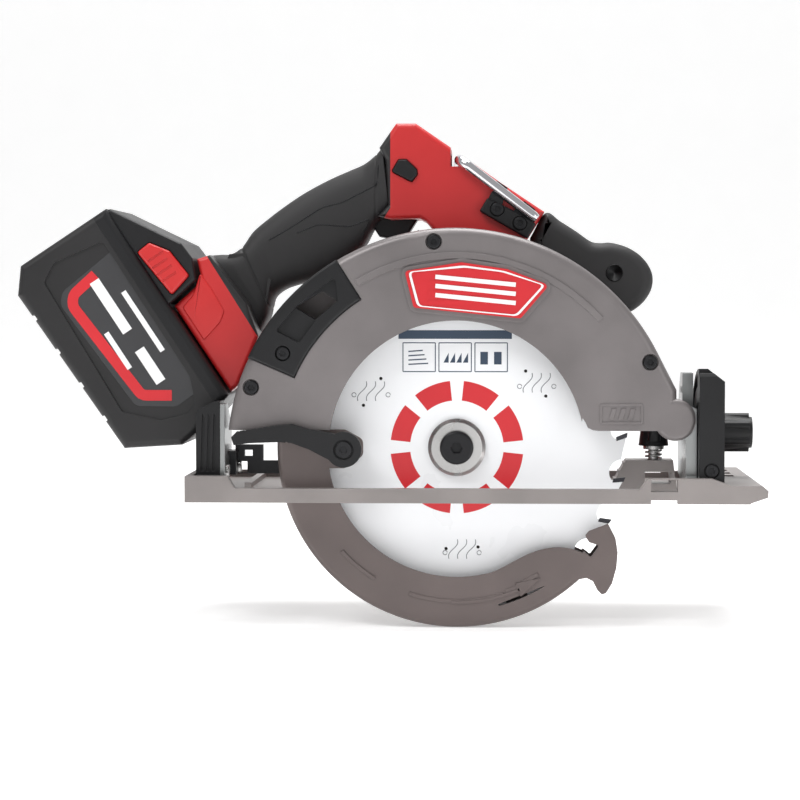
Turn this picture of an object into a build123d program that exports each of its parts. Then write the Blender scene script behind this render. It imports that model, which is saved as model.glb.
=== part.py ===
"""Cordless circular saw with its battery, as separate pieces, in millimetres.

Row frame: the origin is on the sole, straight below the arbor and in the handle's middle plane.
+X points along the cut (forwards), +Y towards the motor end, +Z up.
"""
from build123d import *
from math import acos, cos, hypot, pi, radians, sin, sqrt, tan
import os

# ---------------------------------------------------------------- driving dimensions
BLADE_RADIUS = 95.0            # 190 mm blade
BLADE_BORE_RADIUS = 15.0       # 30 mm bore
TEETH = 24
PLATE_THICKNESS = 1.1          # steel plate of the blade
KERF = 1.6                     # width of the carbide tips
BLADE_Y = -52.0                # middle plane of the blade
ARBOR_Z = 29.0                 # 66 mm cut below the sole
SHOE_REAR, SHOE_FRONT = -148.5, 169.5
SHOE_NEAR, SHOE_FAR = -82.0, 68.0
SHOE_THICKNESS = 3.5
WINDOW_NEAR, WINDOW_FAR = -75.0, -22.0
WINDOW_REAR, WINDOW_FRONT = -131.0, 132.2
BEVEL_Y, BEVEL_Z = -68.0, 5.0  # axis of the bevel tilt, along X
BEVEL_ARC = 62.0               # radius of the bevel bolt about that axis
BEVEL_REST = 29.5              # angle of the bevel bolt above the sole, in degrees
PIVOT_X, PIVOT_Z = 120.0, 45.0  # axis of the depth adjustment, along Y
DEPTH_ARC = 170.0              # radius of the depth clamp about that axis
GUARD_X, GUARD_Z = -1.5, 25.0  # centre of the fixed guard's rim
GUARD_RADIUS = 125.5
GUARD_NEAR, GUARD_SPLIT, GUARD_FAR = -68.0, -60.0, -38.0
GUARD_BOTTOM = 39.0
WINDOW_RADIUS = 70.5           # view of the blade through the fixed guard
LOWER_OUTER, LOWER_INNER = 99.5, 71.5
LOWER_NEAR, LOWER_FAR = -62.5, -43.0
MODULE = 1.0
GEAR_TEETH, PINION_TEETH = 39, 12
MOTOR_ANGLE = 60.0             # direction from the arbor to the motor axis
MOTOR_RADIUS = 40.0
MOTOR_REAR = 72.0
BODY_HALF, GRIP_HALF, FOOT_HALF = 20.0, 12.0, 36.0
WALL = 2.6                     # plastic shells
SLEEVE = 3.8                   # rubber round the grip's core
PACK_HALF = 45.0
PACK_ANGLE = 56.5              # slope of the battery's long side
PACK_X, PACK_Z = -162.0, 108.5  # middle of the battery's rail line
RUN = 0.05                     # radial clearance of a running fit

CENTRES = MODULE * (GEAR_TEETH + PINION_TEETH) / 2
MOTOR_X = CENTRES * cos(radians(MOTOR_ANGLE))
MOTOR_Z = ARBOR_Z + CENTRES * sin(radians(MOTOR_ANGLE))
PLATE_NEAR = BLADE_Y - PLATE_THICKNESS / 2
PLATE_FAR = BLADE_Y + PLATE_THICKNESS / 2
PACK = Plane(origin=(PACK_X, 0, PACK_Z),
             x_dir=(cos(radians(PACK_ANGLE)), 0, -sin(radians(PACK_ANGLE))),
             z_dir=(0, -1, 0))


# ---------------------------------------------------------------- shape helpers
def outline(points, radius=0.0):
    """Closed outline through the points, with every corner rounded to the radius."""
    if radius > 0:
        return make_face(FilletPolyline(*points, radius=radius, close=True))
    return make_face(Polyline(*points, close=True))


def slab(sketch, y0, y1, plane=Plane.XZ):
    """Solid of a side outline, from y0 to y1 across the saw."""
    return extrude(plane.offset(-y1) * sketch, amount=y1 - y0)


def front_slab(sketch, x0, x1):
    """Solid of an outline drawn in Y and Z, from x0 to x1 along the saw."""
    return extrude(Plane.YZ.offset(x0) * sketch, amount=x1 - x0)


def block(x0, x1, y0, y1, z0, z1):
    """Box between two corners."""
    centre = Pos((x0 + x1) / 2, (y0 + y1) / 2, (z0 + z1) / 2)
    return centre * Box(x1 - x0, y1 - y0, z1 - z0)


def disc(x, z, radius, y0, y1):
    """Cylinder across the saw."""
    return Pos(x, (y0 + y1) / 2, z) * Rot(90, 0, 0) * Cylinder(radius, y1 - y0)


def ring(x, z, inner, outer, y0, y1):
    """Tube across the saw."""
    return disc(x, z, outer, y0, y1) - disc(x, z, inner, y0 - 1, y1 + 1)


def rod_x(y, z, radius, x0, x1):
    """Cylinder along the saw."""
    return Pos((x0 + x1) / 2, y, z) * Rot(0, 90, 0) * Cylinder(radius, x1 - x0)


def rod_z(x, y, radius, z0, z1):
    """Upright cylinder."""
    return Pos(x, y, (z0 + z1) / 2) * Cylinder(radius, z1 - z0)


def polar(radius, angle, x=0.0, z=ARBOR_Z):
    """Point at an angle in degrees above +X about a centre in the side view."""
    return (x + radius * cos(radians(angle)), z + radius * sin(radians(angle)))


def bevel_point(radius, angle):
    """Point in Y and Z at an angle above +Y about the bevel axis."""
    return polar(radius, angle, BEVEL_Y, BEVEL_Z)


def sector(inner, outer, start, end, x=0.0, z=ARBOR_Z):
    """Ring sector from start to end in degrees, counter-clockwise."""
    middle = (start + end) / 2
    edge = [
        ThreePointArc(polar(outer, start, x, z), polar(outer, middle, x, z), polar(outer, end, x, z)),
        Line(polar(outer, end, x, z), polar(inner, end, x, z)),
        ThreePointArc(polar(inner, end, x, z), polar(inner, middle, x, z), polar(inner, start, x, z)),
        Line(polar(inner, start, x, z), polar(outer, start, x, z)),
    ]
    return make_face(edge)


def side_edges(solid, y):
    """Edges of the solid that lie in the plane at y."""
    return solid.edges().filter_by(lambda edge: edge.bounding_box().min.Y > y - 0.01
                                   and edge.bounding_box().max.Y < y + 0.01)


def soften(solid, radius, *planes):
    """Round the edges that lie in each given plane across the saw."""
    for y in planes:
        solid = fillet(side_edges(solid, y), radius)
    return solid


def keep(name, shape):
    """Write one sub-part."""
    export_step(shape, "parts/" + name + ".step")


def pan_screw(head, shank, head_length, length):
    """Screw along +Z: its head stands on the origin's plane and its shank goes below."""
    cap = Pos(0, 0, head_length / 2) * Cylinder(head, head_length)
    cap = fillet(cap.edges().filter_by(GeomType.CIRCLE).sort_by(Axis.Z)[-1], head_length * 0.35)
    drive = Pos(0, 0, head_length) * extrude(RegularPolygon(head * 0.5, 6), amount=-head_length * 0.6)
    return cap - drive + Pos(0, 0, -length / 2) * Cylinder(shank, length)


def screw_facing_near(x, z, y, head, shank, head_length, length):
    """Screw whose head faces -Y; y is the plane under its head."""
    return Pos(x, y, z) * Rot(90, 0, 0) * pan_screw(head, shank, head_length, length)


def screw_facing_far(x, z, y, head, shank, head_length, length):
    """Screw whose head faces +Y; y is the plane under its head."""
    return Pos(x, y, z) * Rot(-90, 0, 0) * pan_screw(head, shank, head_length, length)


def gear_face(teeth, backlash, phase):
    """Involute spur gear outline about the origin, one tooth centred at the phase angle."""
    pitch = MODULE * teeth / 2
    base = pitch * cos(radians(20))
    root, tip = pitch - 1.2 * MODULE, pitch + 0.85 * MODULE
    half_pitch = pi / (2 * teeth) - backlash / (2 * pitch)
    involute = tan(radians(20)) - radians(20)

    def half_angle(radius):
        slope = acos(min(1.0, base / radius))
        return half_pitch + involute - (tan(slope) - slope)

    points = []
    for tooth in range(teeth):
        middle = radians(phase) + 2 * pi * tooth / teeth
        flank = [(root, half_angle(max(root, base)))]
        for step in range(4):
            radius = max(root, base) + (tip - max(root, base)) * step / 3
            flank.append((radius, half_angle(radius)))
        if flank[1][0] - root < 0.02:
            flank.pop(0)
        side = [(radius * cos(middle - angle), radius * sin(middle - angle)) for radius, angle in flank]
        other = [(radius * cos(middle + angle), radius * sin(middle + angle)) for radius, angle in flank]
        points += side + other[::-1]
    return make_face(Polyline(*points, close=True))


# ---------------------------------------------------------------- shoe
PIN_RADIUS = 3.0
FENCE_X, FENCE_Y = 113.3, -14.0
FENCE_HALF_WIDTH = 7.25
FENCE_LOW, FENCE_HIGH = 6.7, 13.3


def make_shoe():
    rail = outline([(SHOE_REAR, 0), (SHOE_REAR, 14.4), (-125, 14.4), (-121, 7.8), (100, 7.8), (104.4, 13.8),
                    (139.3, 13.8), (149.5, 10), (166.3, 10), (169.5, 7.3), (169.2, 3.7), (158.4, 0)])
    nose = outline([(WINDOW_FRONT, 0), (WINDOW_FRONT, 9), (137, 10), (166.3, 10), (169.5, 7.3), (169.2, 3.7),
                    (158.4, 0)])
    shoe = block(SHOE_REAR, 160, SHOE_NEAR, SHOE_FAR, 0, SHOE_THICKNESS)
    shoe += slab(rail, SHOE_NEAR, WINDOW_NEAR)
    shoe += slab(nose, SHOE_NEAR, SHOE_FAR)
    shoe += block(SHOE_REAR, 150, SHOE_FAR - 4, SHOE_FAR, 0, 7.8)
    shoe += block(SHOE_REAR, -145.2, SHOE_NEAR, 40, 0, 14.4)
    shoe += block(SHOE_REAR, -145.2, 40, SHOE_FAR, 0, 9)
    for x in (-120, -60, 60):
        shoe += block(x - 2, x + 2, WINDOW_FAR, SHOE_FAR, 0, 6.5 if x else 5)
    block_side = outline([(85, 0), (92, 14), (95.5, 20), (122, 20), (124.5, 0)])
    shoe += slab(block_side, WINDOW_FAR, -5)
    for step in range(3):
        x = 88.5 + 2.6 * step
        shoe += block(x, x + 1.2, WINDOW_FAR, -5, 3, 9.5 + 4.6 * step)
    shoe -= block(WINDOW_REAR, WINDOW_FRONT, WINDOW_NEAR, WINDOW_FAR, -1, 20)
    shoe -= block(-145.2, WINDOW_REAR + 1, WINDOW_NEAR + 0.5, -27, -1, 20)
    shoe -= block(FENCE_X - FENCE_HALF_WIDTH, FENCE_X + FENCE_HALF_WIDTH, -90, 80, FENCE_LOW, FENCE_HIGH)
    shoe -= block(FENCE_X - FENCE_HALF_WIDTH, FENCE_X + FENCE_HALF_WIDTH, -90, WINDOW_NEAR + 1, -1, 2.1)
    shoe -= rod_z(FENCE_X - 2, FENCE_Y, 3.0 + RUN, 10, 30)
    shoe -= rod_x(BEVEL_Y, BEVEL_Z, PIN_RADIUS + RUN, 120, 152)
    shoe -= rod_x(BEVEL_Y, BEVEL_Z, PIN_RADIUS + RUN, -150, -140)
    for y in (-10, 12, 34):
        shoe -= block(148, 158, y, y + 12, 6, 12)
    return shoe


def make_bevel_pins():
    front = rod_x(BEVEL_Y, BEVEL_Z, PIN_RADIUS, 126, 150)
    rear = rod_x(BEVEL_Y, BEVEL_Z, PIN_RADIUS, -148.4, -131)
    return Compound([front, rear])


QUADRANT_REAR, QUADRANT_FRONT = 132.6, 146.3


def make_front_quadrant():
    arc = sector(50, 68.2, 17, 91, BEVEL_Y, BEVEL_Z)
    foot = outline([(-22, 10), (-2, 10), (-2, 22), (-8, 27), (-22, 20)])
    column = outline([(-74.9, 10), (-66.5, 10), (-66.5, 66), (-73.5, 71), (-74.9, 69)])
    shape = front_slab(arc, QUADRANT_REAR, QUADRANT_FRONT)
    shape += front_slab(foot, QUADRANT_REAR, QUADRANT_FRONT)
    shape += front_slab(column, QUADRANT_REAR, QUADRANT_FRONT)
    recess = sector(54.5, 75, BEVEL_REST - 9.5, BEVEL_REST + 58, BEVEL_Y, BEVEL_Z)
    shape -= front_slab(recess, 139.5, 150)
    slot = sector(BEVEL_ARC - 3.2, BEVEL_ARC + 3.2, BEVEL_REST - 3, BEVEL_REST + 53, BEVEL_Y, BEVEL_Z)
    shape -= front_slab(slot, 130, 150)
    slope = outline([(136.5, 74), (148, 74), (148, 65)])
    shape -= slab(slope, -90, 20)
    shape -= rod_z(136, -5.2, 2.9, 22, 40)
    shape -= rod_z(136, -5.2, 1.65, 17, 40)
    shape -= disc(139.4, 17.5, 4.2, -78, -73.4)
    shape -= disc(139.4, 17.5, 1.65, -80, -67.5)
    return shape


def make_quadrant_screws():
    near = screw_facing_near(139.4, 17.5, -73.4, 3.6, 1.6, 1.6, 5.5)
    far = Pos(136, -5.2, 22) * pan_screw(2.6, 1.6, 1.5, 4)
    return Compound([near, far])


# ---------------------------------------------------------------- rip-fence clamp
KNOB_X = FENCE_X - 2


def make_fence_screw():
    shank = rod_z(KNOB_X, FENCE_Y, 3.0, 13.6, 40)
    collar = rod_z(KNOB_X, FENCE_Y, 6.0, 26.0, 28.0)
    return shank + collar


def make_fence_knob():
    hub = loft([Pos(KNOB_X, FENCE_Y, 28.0) * Circle(8.5), Pos(KNOB_X, FENCE_Y, 44) * Circle(6.5)])
    wing = Pos(KNOB_X, FENCE_Y, 37) * Box(7, 20.5, 12)
    wing = fillet(wing.edges().filter_by(Axis.Z), 2.5)
    knob = hub + wing
    return knob - rod_z(KNOB_X, FENCE_Y, 3.0, 20, 40)


def make_fence_spring():
    coil = Helix(pitch=2.3, height=4.6, radius=4.4)
    start = coil @ 0
    wire = sweep(Plane(origin=start, z_dir=coil % 0) * Circle(0.6), path=coil)
    return Pos(KNOB_X, FENCE_Y, 20.7) * wire


# ---------------------------------------------------------------- tilting frame
EAR_RADIUS = 11.0
NEAR_EAR = (-64.0, -59.4)
FAR_EAR = (-45.6, -40.0)
DEPTH_PIN_RADIUS = 4.0


def make_front_tilt_bracket():
    plate = outline([(-64, 7), (-2, 12), (-2, 44), (-8, 60), (-20, 70), (-36.5, 70), (-36.5, 50), (-64, 50)])
    shape = front_slab(plate, 126, 132)
    shape += rod_x(BEVEL_Y, BEVEL_Z, 4.5, 126, 132)
    shape += front_slab(outline([(-68, 2), (-60, 5), (-60, 14), (-64, 14), (-66, 9.3)]), 126, 132)
    for y0, y1 in (NEAR_EAR, FAR_EAR):
        ear = outline([(PIVOT_X, PIVOT_Z - EAR_RADIUS), (131.9, PIVOT_Z - EAR_RADIUS),
                       (131.9, PIVOT_Z + 6), (PIVOT_X + 4, PIVOT_Z + EAR_RADIUS - 1)])
        shape += slab(ear, y0, y1)
        shape += disc(PIVOT_X, PIVOT_Z, EAR_RADIUS, y0, y1)
    shape -= disc(PIVOT_X, PIVOT_Z, 10.0, NEAR_EAR[1], FAR_EAR[0])
    shape -= disc(PIVOT_X, PIVOT_Z, DEPTH_PIN_RADIUS + RUN, -70, -38)
    shape -= rod_x(BEVEL_Y, BEVEL_Z, PIN_RADIUS + RUN, 120, 140)
    bolt_y, bolt_z = bevel_point(BEVEL_ARC, BEVEL_REST)
    shape -= rod_x(bolt_y, bolt_z, 2.5 + RUN, 120, 140)
    for y in (-32, -24):
        shape -= rod_x(y, 60, 2.6, 120, 140)
    return shape


def make_depth_pin():
    pin = disc(PIVOT_X, PIVOT_Z, DEPTH_PIN_RADIUS, NEAR_EAR[0], FAR_EAR[1] + 2.4)
    return pin + ring(PIVOT_X, PIVOT_Z, DEPTH_PIN_RADIUS, 5.8, FAR_EAR[1], FAR_EAR[1] + 1.2)


def make_bevel_bolt():
    y, z = bevel_point(BEVEL_ARC, BEVEL_REST)
    shank = rod_x(y, z, 2.5, 123, 160)
    head = front_slab(Pos(y, z) * RegularPolygon(5.0, 6), 122.4, 126)
    return shank + head


def make_bevel_knob():
    """Tapered knob with grip lobes round its rim."""
    y, z = bevel_point(BEVEL_ARC, BEVEL_REST)
    front = Plane.YZ.offset(166.8) * Pos(y, z) * Circle(8.8)
    rear = Plane.YZ.offset(149) * Pos(y, z) * Circle(10.2)
    knob = loft([rear, front])
    for lobe in range(6):
        ly, lz = polar(8.4, 60 * lobe + 30, y, z)
        knob += rod_x(ly, lz, 2.6, 149.6, 165.2)
    hub = rod_x(y, z, 6.2, 139.6, 149.2)
    knob = knob + hub
    return knob - rod_x(y, z, 2.5 + RUN, 130, 160)


def make_rear_tilt_bracket():
    plate = outline([(-64, 8), (-28, 12), (-28, 26), (-46.6, 28), (-46.6, 55), (-64, 55)])
    shape = front_slab(plate, -144.4, -131)
    shape += rod_x(BEVEL_Y, BEVEL_Z, 4.5, -144.4, -131)
    shape += front_slab(outline([(-68, 2), (-60, 5), (-60, 14), (-64, 14), (-66, 9.3)]), -144.4, -131)
    shape -= slab(outline([(-146, 45), (-143.2, 50), (-134.5, 54.4), (-130, 54.8), (-130, 60), (-146, 60)]),
                  -90, 0)
    shape -= block(-141, -133, -61, -49.5, 22, 60)
    shape -= block(-146, -134.5, -47, 0, 20, 30)
    for x in (-141.8, -138.6, -135.4):
        shape -= slab(outline([(x, 16), (x + 1.5, 16), (x + 2.2, 46), (x + 1.0, 48)]), -66, -63.2)
    shape -= rod_x(BEVEL_Y, BEVEL_Z, PIN_RADIUS + RUN, -150, -130)
    for y, z in REAR_SCREWS:
        shape -= rod_x(y, z, 1.6, -150, -130)
    return shape


REAR_SCREWS = [(-58, 16), (-32, 16.3)]
ARM_PLATE_FRONT = -124.4


def make_rear_tilt_plate():
    plate = outline([(-64, 12), (-29, 12), (-29, 40), (-45, 50), (-48, 53), (-64, 53)])
    shape = front_slab(plate, -130.9, -128.4)
    for y, z in REAR_SCREWS:
        shape -= rod_x(y, z, 2.0, -132, -127)
    return shape


ARM_NEAR, ARM_FAR = -34.0, -30.0


def make_depth_arm():
    """Curved arm about the depth pivot, on a foot that reaches back to the rear bracket."""
    arm = sector(DEPTH_ARC - 7, DEPTH_ARC + 7, 143.5, 191, PIVOT_X, PIVOT_Z)
    shape = slab(arm, ARM_NEAR, ARM_FAR)
    slot = sector(DEPTH_ARC - 3.2, DEPTH_ARC + 3.2, 146, 181.4, PIVOT_X, PIVOT_Z)
    shape -= slab(slot, -40, -20)
    shape += block(-128.4, -45, ARM_NEAR, ARM_FAR, 12.6, 20)
    shape += block(-128.4, ARM_PLATE_FRONT, -44, ARM_FAR, 12.6, 26)
    shape += block(-125.8, -110, ARM_NEAR, ARM_FAR, 19, 29)
    shape -= block(-120.5, -116, ARM_NEAR - 1, ARM_FAR + 1, 22.5, 26)
    y, z = REAR_SCREWS[1]
    shape -= rod_x(y, z, 3.8, ARM_PLATE_FRONT, -119)
    return shape - rod_x(y, z, 1.65, -130, -122)


def make_frame_screws():
    group = []
    for x, (y, z) in zip((-128.4, ARM_PLATE_FRONT), REAR_SCREWS):
        group.append(Pos(x, y, z) * Rot(0, 90, 0) * pan_screw(3.4, 1.55, 2.0, 9))
    return group


# ---------------------------------------------------------------- fixed guard
def guard_outline(radius):
    """Rim circle cut off level at the bottom, with the straight edge down to the depth pivot."""
    shape = Pos(GUARD_X, GUARD_Z) * Circle(radius)
    shape &= Pos(0, GUARD_BOTTOM + 100) * Rectangle(400, 200)
    inset = GUARD_RADIUS - radius
    top = polar(radius, 27, GUARD_X, GUARD_Z)
    toe = (120.8 - inset * 0.9, 61.4 - inset * 0.4)
    nose = outline([top, toe, (120.8 - inset, GUARD_BOTTOM), (80, GUARD_BOTTOM), (80, 60)])
    return shape + nose


BADGE = [(-28.4, 126.6), (-23.4, 106.6), (35.2, 100.7), (50.7, 118.9), (28, 127.6), (2.8, 131.4)]
COVER_SCREWS = [(-12.5, 142.8), (-113.3, 62.6), (106.2, 76.7)]
CHUTE_SCREW = (-95.6, 81.4)
CHUTE_START, CHUTE_END = 122.5, 156.5
CHUTE_INNER = 97.3


def chute_outline(gap):
    """Ring sector of the dust chute, grown by the gap."""
    edge = Pos(GUARD_X, GUARD_Z) * Circle(GUARD_RADIUS + 2)
    return edge & sector(CHUTE_INNER - gap, 140, CHUTE_START - gap / 2, CHUTE_END + gap / 2)


def make_guard_cover():
    shape = slab(guard_outline(GUARD_RADIUS), GUARD_NEAR, GUARD_SPLIT)
    rim = side_edges(shape, GUARD_NEAR).filter_by(
        lambda edge: edge.bounding_box().max.Z > GUARD_BOTTOM + 1)
    shape = fillet(rim, 4.6)
    shape -= slab(guard_outline(GUARD_RADIUS - 4), GUARD_NEAR + 3, GUARD_SPLIT + 1)
    shape -= block(-115, 106, GUARD_NEAR + 3, GUARD_SPLIT + 1, 30, 60)
    for x, z in COVER_SCREWS + [(58, 128), (-60, 115)]:
        shape += disc(x, z, 5.6, GUARD_NEAR + 2.5, GUARD_SPLIT) & slab(guard_outline(GUARD_RADIUS - 0.5),
                                                                       GUARD_NEAR, GUARD_SPLIT)
    shape += slab(sector(104.5, 108, 42, 121), GUARD_NEAR - 0.9, GUARD_NEAR + 1)
    shape += slab(offset(outline(BADGE, 2.0), 2.2), GUARD_NEAR - 1.2, GUARD_NEAR + 1)
    frame = outline([(78.8, 42.8), (102.3, 42.8), (102.3, 53.9), (78.8, 53.9)], 1.2)
    shape += slab(frame - offset(frame, -1.1), GUARD_NEAR - 0.7, GUARD_NEAR + 1)
    for bar in range(3):
        x = 83.5 + 5.2 * bar
        mark = outline([(x, 45.3), (x + 2.6, 45.3), (x + 4.4, 51.4), (x + 1.8, 51.4)])
        shape += slab(mark, GUARD_NEAR - 0.6, GUARD_NEAR + 1)
    shape -= disc(0, ARBOR_Z, WINDOW_RADIUS, -90, -50)
    corner = outline([(66, 30), (78, 30), (78, GUARD_BOTTOM + 0.01), (74.9, 39.4), (72.2, 40.7), (71, 43.4),
                      (69.3, 46)])
    shape -= slab(corner, -90, -50)
    shape -= slab(chute_outline(0.15), -90, -50)
    for x, z in COVER_SCREWS:
        shape -= disc(x, z, 4.6, GUARD_NEAR - 3, GUARD_NEAR + 2.6)
        shape -= disc(x, z, 2.05, GUARD_NEAR, GUARD_SPLIT + 1)
    cheek = disc(PIVOT_X, PIVOT_Z, EAR_RADIUS + 0.5, GUARD_NEAR, NEAR_EAR[0] - 0.4)
    shape += fillet(side_edges(cheek, GUARD_NEAR), 2.4)
    shape -= disc(PIVOT_X, PIVOT_Z, EAR_RADIUS + 0.8, NEAR_EAR[0] - 0.4, GUARD_SPLIT + 1)
    return shape - block(108, 140, NEAR_EAR[0] - 0.4, GUARD_SPLIT + 1, 30, PIVOT_Z + 5)


KNUCKLE_RADIUS = 9.0
GUARD_BOLTS = [polar(31.5, angle) for angle in (28, 80, 126, 160)]


def make_guard_back():
    shape = slab(guard_outline(GUARD_RADIUS), GUARD_SPLIT, GUARD_FAR)
    rim = side_edges(shape, GUARD_FAR).filter_by(
        lambda edge: edge.bounding_box().max.Z > GUARD_BOTTOM + 1)
    shape = fillet(rim, 5.0)
    shape -= slab(guard_outline(GUARD_RADIUS - 4), GUARD_SPLIT - 1, GUARD_FAR - 3)
    shape -= block(-116, 106, GUARD_SPLIT - 1, GUARD_FAR - 3, 30, 60)
    shape += disc(0, ARBOR_Z, 23.6, GUARD_FAR - 3, GUARD_FAR)
    shape += slab(sector(118, GUARD_RADIUS, -5, 24, GUARD_X, GUARD_Z), GUARD_SPLIT, GUARD_FAR) & block(
        90, 121.5, -70, -30, GUARD_BOTTOM, 90)
    shape -= disc(PIVOT_X, PIVOT_Z, EAR_RADIUS + 0.8, FAR_EAR[0] - 0.3, GUARD_FAR + 1)
    shape -= disc(PIVOT_X, PIVOT_Z, EAR_RADIUS + 0.8, GUARD_SPLIT - 5, NEAR_EAR[1] + 0.3)
    shape += disc(PIVOT_X, PIVOT_Z, KNUCKLE_RADIUS, NEAR_EAR[1] + 0.3, FAR_EAR[0] - 0.3)
    shape += block(104, PIVOT_X, NEAR_EAR[1] + 2.4, FAR_EAR[0] - 0.3, PIVOT_Z - 6, PIVOT_Z + 4)
    shape -= disc(PIVOT_X, PIVOT_Z, DEPTH_PIN_RADIUS + RUN, -80, -30)
    for x, z in COVER_SCREWS:
        boss = disc(x, z, 5.6, GUARD_SPLIT, GUARD_FAR - 1)
        shape += boss & slab(guard_outline(GUARD_RADIUS - 0.5), GUARD_SPLIT, GUARD_FAR - 0.5)
        shape -= disc(x, z, 1.65, GUARD_SPLIT - 1, GUARD_SPLIT + 14)
    shape += disc(-50, PIVOT_Z, 8.0, GUARD_FAR - 1, ARM_NEAR - 0.3)
    shape -= disc(-50, PIVOT_Z, 3.0 + RUN, GUARD_FAR - 2, -30)
    shape -= disc(0, ARBOR_Z, 20.0 + RUN, -60, -30)
    for x, z in GUARD_BOLTS:
        shape -= disc(x, z, 2.1, -60, -30)
    return shape


def make_cover_screws():
    group = [screw_facing_near(x, z, GUARD_NEAR + 2.6, 3.9, 1.6, 2.4, 18) for x, z in COVER_SCREWS]
    x, z = CHUTE_SCREW
    group.append(screw_facing_near(x, z, GUARD_NEAR + 1.2, 3.7, 1.55, 2.0, 3.4))
    return group


def make_guard_bolts():
    return [screw_facing_near(x, z, GUARD_FAR - 3, 3.6, 2.0, 1.4, 10) for x, z in GUARD_BOLTS]


CHUTE_NEAR, CHUTE_DEEP = -69.4, -63.6


def make_dust_chute():
    shape = slab(chute_outline(0) & (Pos(GUARD_X, GUARD_Z) * Circle(GUARD_RADIUS + 0.3)), CHUTE_NEAR, CHUTE_DEEP)
    shape = fillet(side_edges(shape, CHUTE_NEAR), 1.6)
    rim = Pos(GUARD_X, GUARD_Z) * (Circle(GUARD_RADIUS + 0.3) - Circle(GUARD_RADIUS - 4))
    shape += slab(chute_outline(0) & rim, CHUTE_DEEP - 1, GUARD_SPLIT)
    mouth = outline([(-89, 106.7), (-73.9, 115.6), (-65.5, 110), (-77.8, 99.9)], 1.0)
    shape -= slab(mouth, -75, -55)
    tray = outline([(-99.5, 93.8), (-88, 107.4), (-66.5, 123.5), (-65.2, 110.4), (-77.5, 99.4), (-86.6, 87.2)], 1.5)
    shape -= slab(tray, CHUTE_NEAR - 1, CHUTE_NEAR + 2.4)
    x, z = CHUTE_SCREW
    shape -= disc(x, z, 4.3, -75, GUARD_NEAR + 1.2)
    return shape - disc(x, z, 1.6, -75, -60)


def make_badge_plate():
    shape = slab(outline(BADGE, 2.0), GUARD_NEAR - 2.0, GUARD_NEAR - 1.2)
    rim = outline(BADGE, 2.0) - offset(outline(BADGE, 2.0), -1.6)
    bars = slab(rim, GUARD_NEAR - 2.5, GUARD_NEAR - 1.9)
    for row in range(3):
        z = 108.2 + 5.4 * row
        bars += slab(outline([(-16, z), (22 + 3 * row, z), (24 + 3 * row, z + 2.4), (-15.4, z + 2.4)]),
                     GUARD_NEAR - 2.4, GUARD_NEAR - 1.9)
    return shape + bars


# ---------------------------------------------------------------- moving lower guard
LEVER_X, LEVER_Z = -61.7, 28.7
LEVER_NEAR, LEVER_FAR = -75.2, -71.2
LOWER_TIP, LOWER_TAIL = -39.0, 160.0


def make_lower_guard():
    """Channel round the blade's lower half, hung on the gear case's nose."""
    start = LOWER_TAIL
    end = LOWER_TIP + 360
    wall = sector(LOWER_INNER, LOWER_OUTER, start, 360 - 75)
    wall += sector(LOWER_OUTER - 9, LOWER_OUTER, start, end)
    crest = Spline((6, -42.3), (22.8, -38.4), (39.3, -29.8), (54.5, -25.8), (67.2, -27.7), (73, -31))
    hump = make_face([crest, Polyline((73, -31), polar(LOWER_OUTER - 5, -48), polar(LOWER_OUTER - 5, -88),
                                      (6, -42.3))])
    fin = outline([(83.6, -12.6), (73.2, -16.6), (71, -19.2), (73.2, -22.8), (79, -24.6), (74.6, -30.6),
                   (62, -36), (61, -46), (67, -43.6), (71.8, -42.6), (75.4, -44.4), (77.8, -49.2), (80.2, -51.7),
                   (82.6, -51.0), (85.9, -45.6), (88.3, -37), (89, -28.4), (87.8, -20.6)], 1.1)
    face = wall + hump + fin
    shape = slab(face, LOWER_NEAR, LOWER_FAR)
    shape = fillet(shape.edges().filter_by(GeomType.CIRCLE).filter_by(
        lambda edge: edge.radius > LOWER_OUTER - 0.1), 3.0)
    channel = sector(24, LOWER_OUTER - 2.2, LOWER_TAIL - 4, end + 18)
    shape -= slab(channel, LOWER_NEAR + 1.8, LOWER_FAR - 1.5)
    far_wall = sector(24, LOWER_INNER + 1, LOWER_TAIL, end)
    shape += slab(far_wall, LOWER_FAR - 1.5, LOWER_FAR)
    shape += ring(0, ARBOR_Z, 20.0 + RUN, 30, LOWER_FAR - 1.5, LOWER_FAR)
    tab = outline([(LEVER_X - 13, LEVER_Z - 11), (LEVER_X, LEVER_Z - 11), (LEVER_X + 10, LEVER_Z - 4),
                   (LEVER_X + 10, LEVER_Z + 5), (LEVER_X, LEVER_Z + 10.5), (LEVER_X - 13, LEVER_Z + 10.5)], 4)
    shape += slab(tab, LOWER_NEAR, LOWER_NEAR + 1.8)
    shape += disc(LEVER_X, LEVER_Z, 7.5, LEVER_FAR, LOWER_NEAR + 1.8)
    shape -= disc(LEVER_X, LEVER_Z, 1.6, -80, LOWER_NEAR + 1)
    for index, angle in enumerate((-72, -64, -57)):
        outer = 86 - index
        shape += slab(sector(outer - 2.2, outer, -108 if index == 0 else angle - 7, angle),
                      LOWER_NEAR - 0.5, LOWER_NEAR + 1)
    return shape


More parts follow.
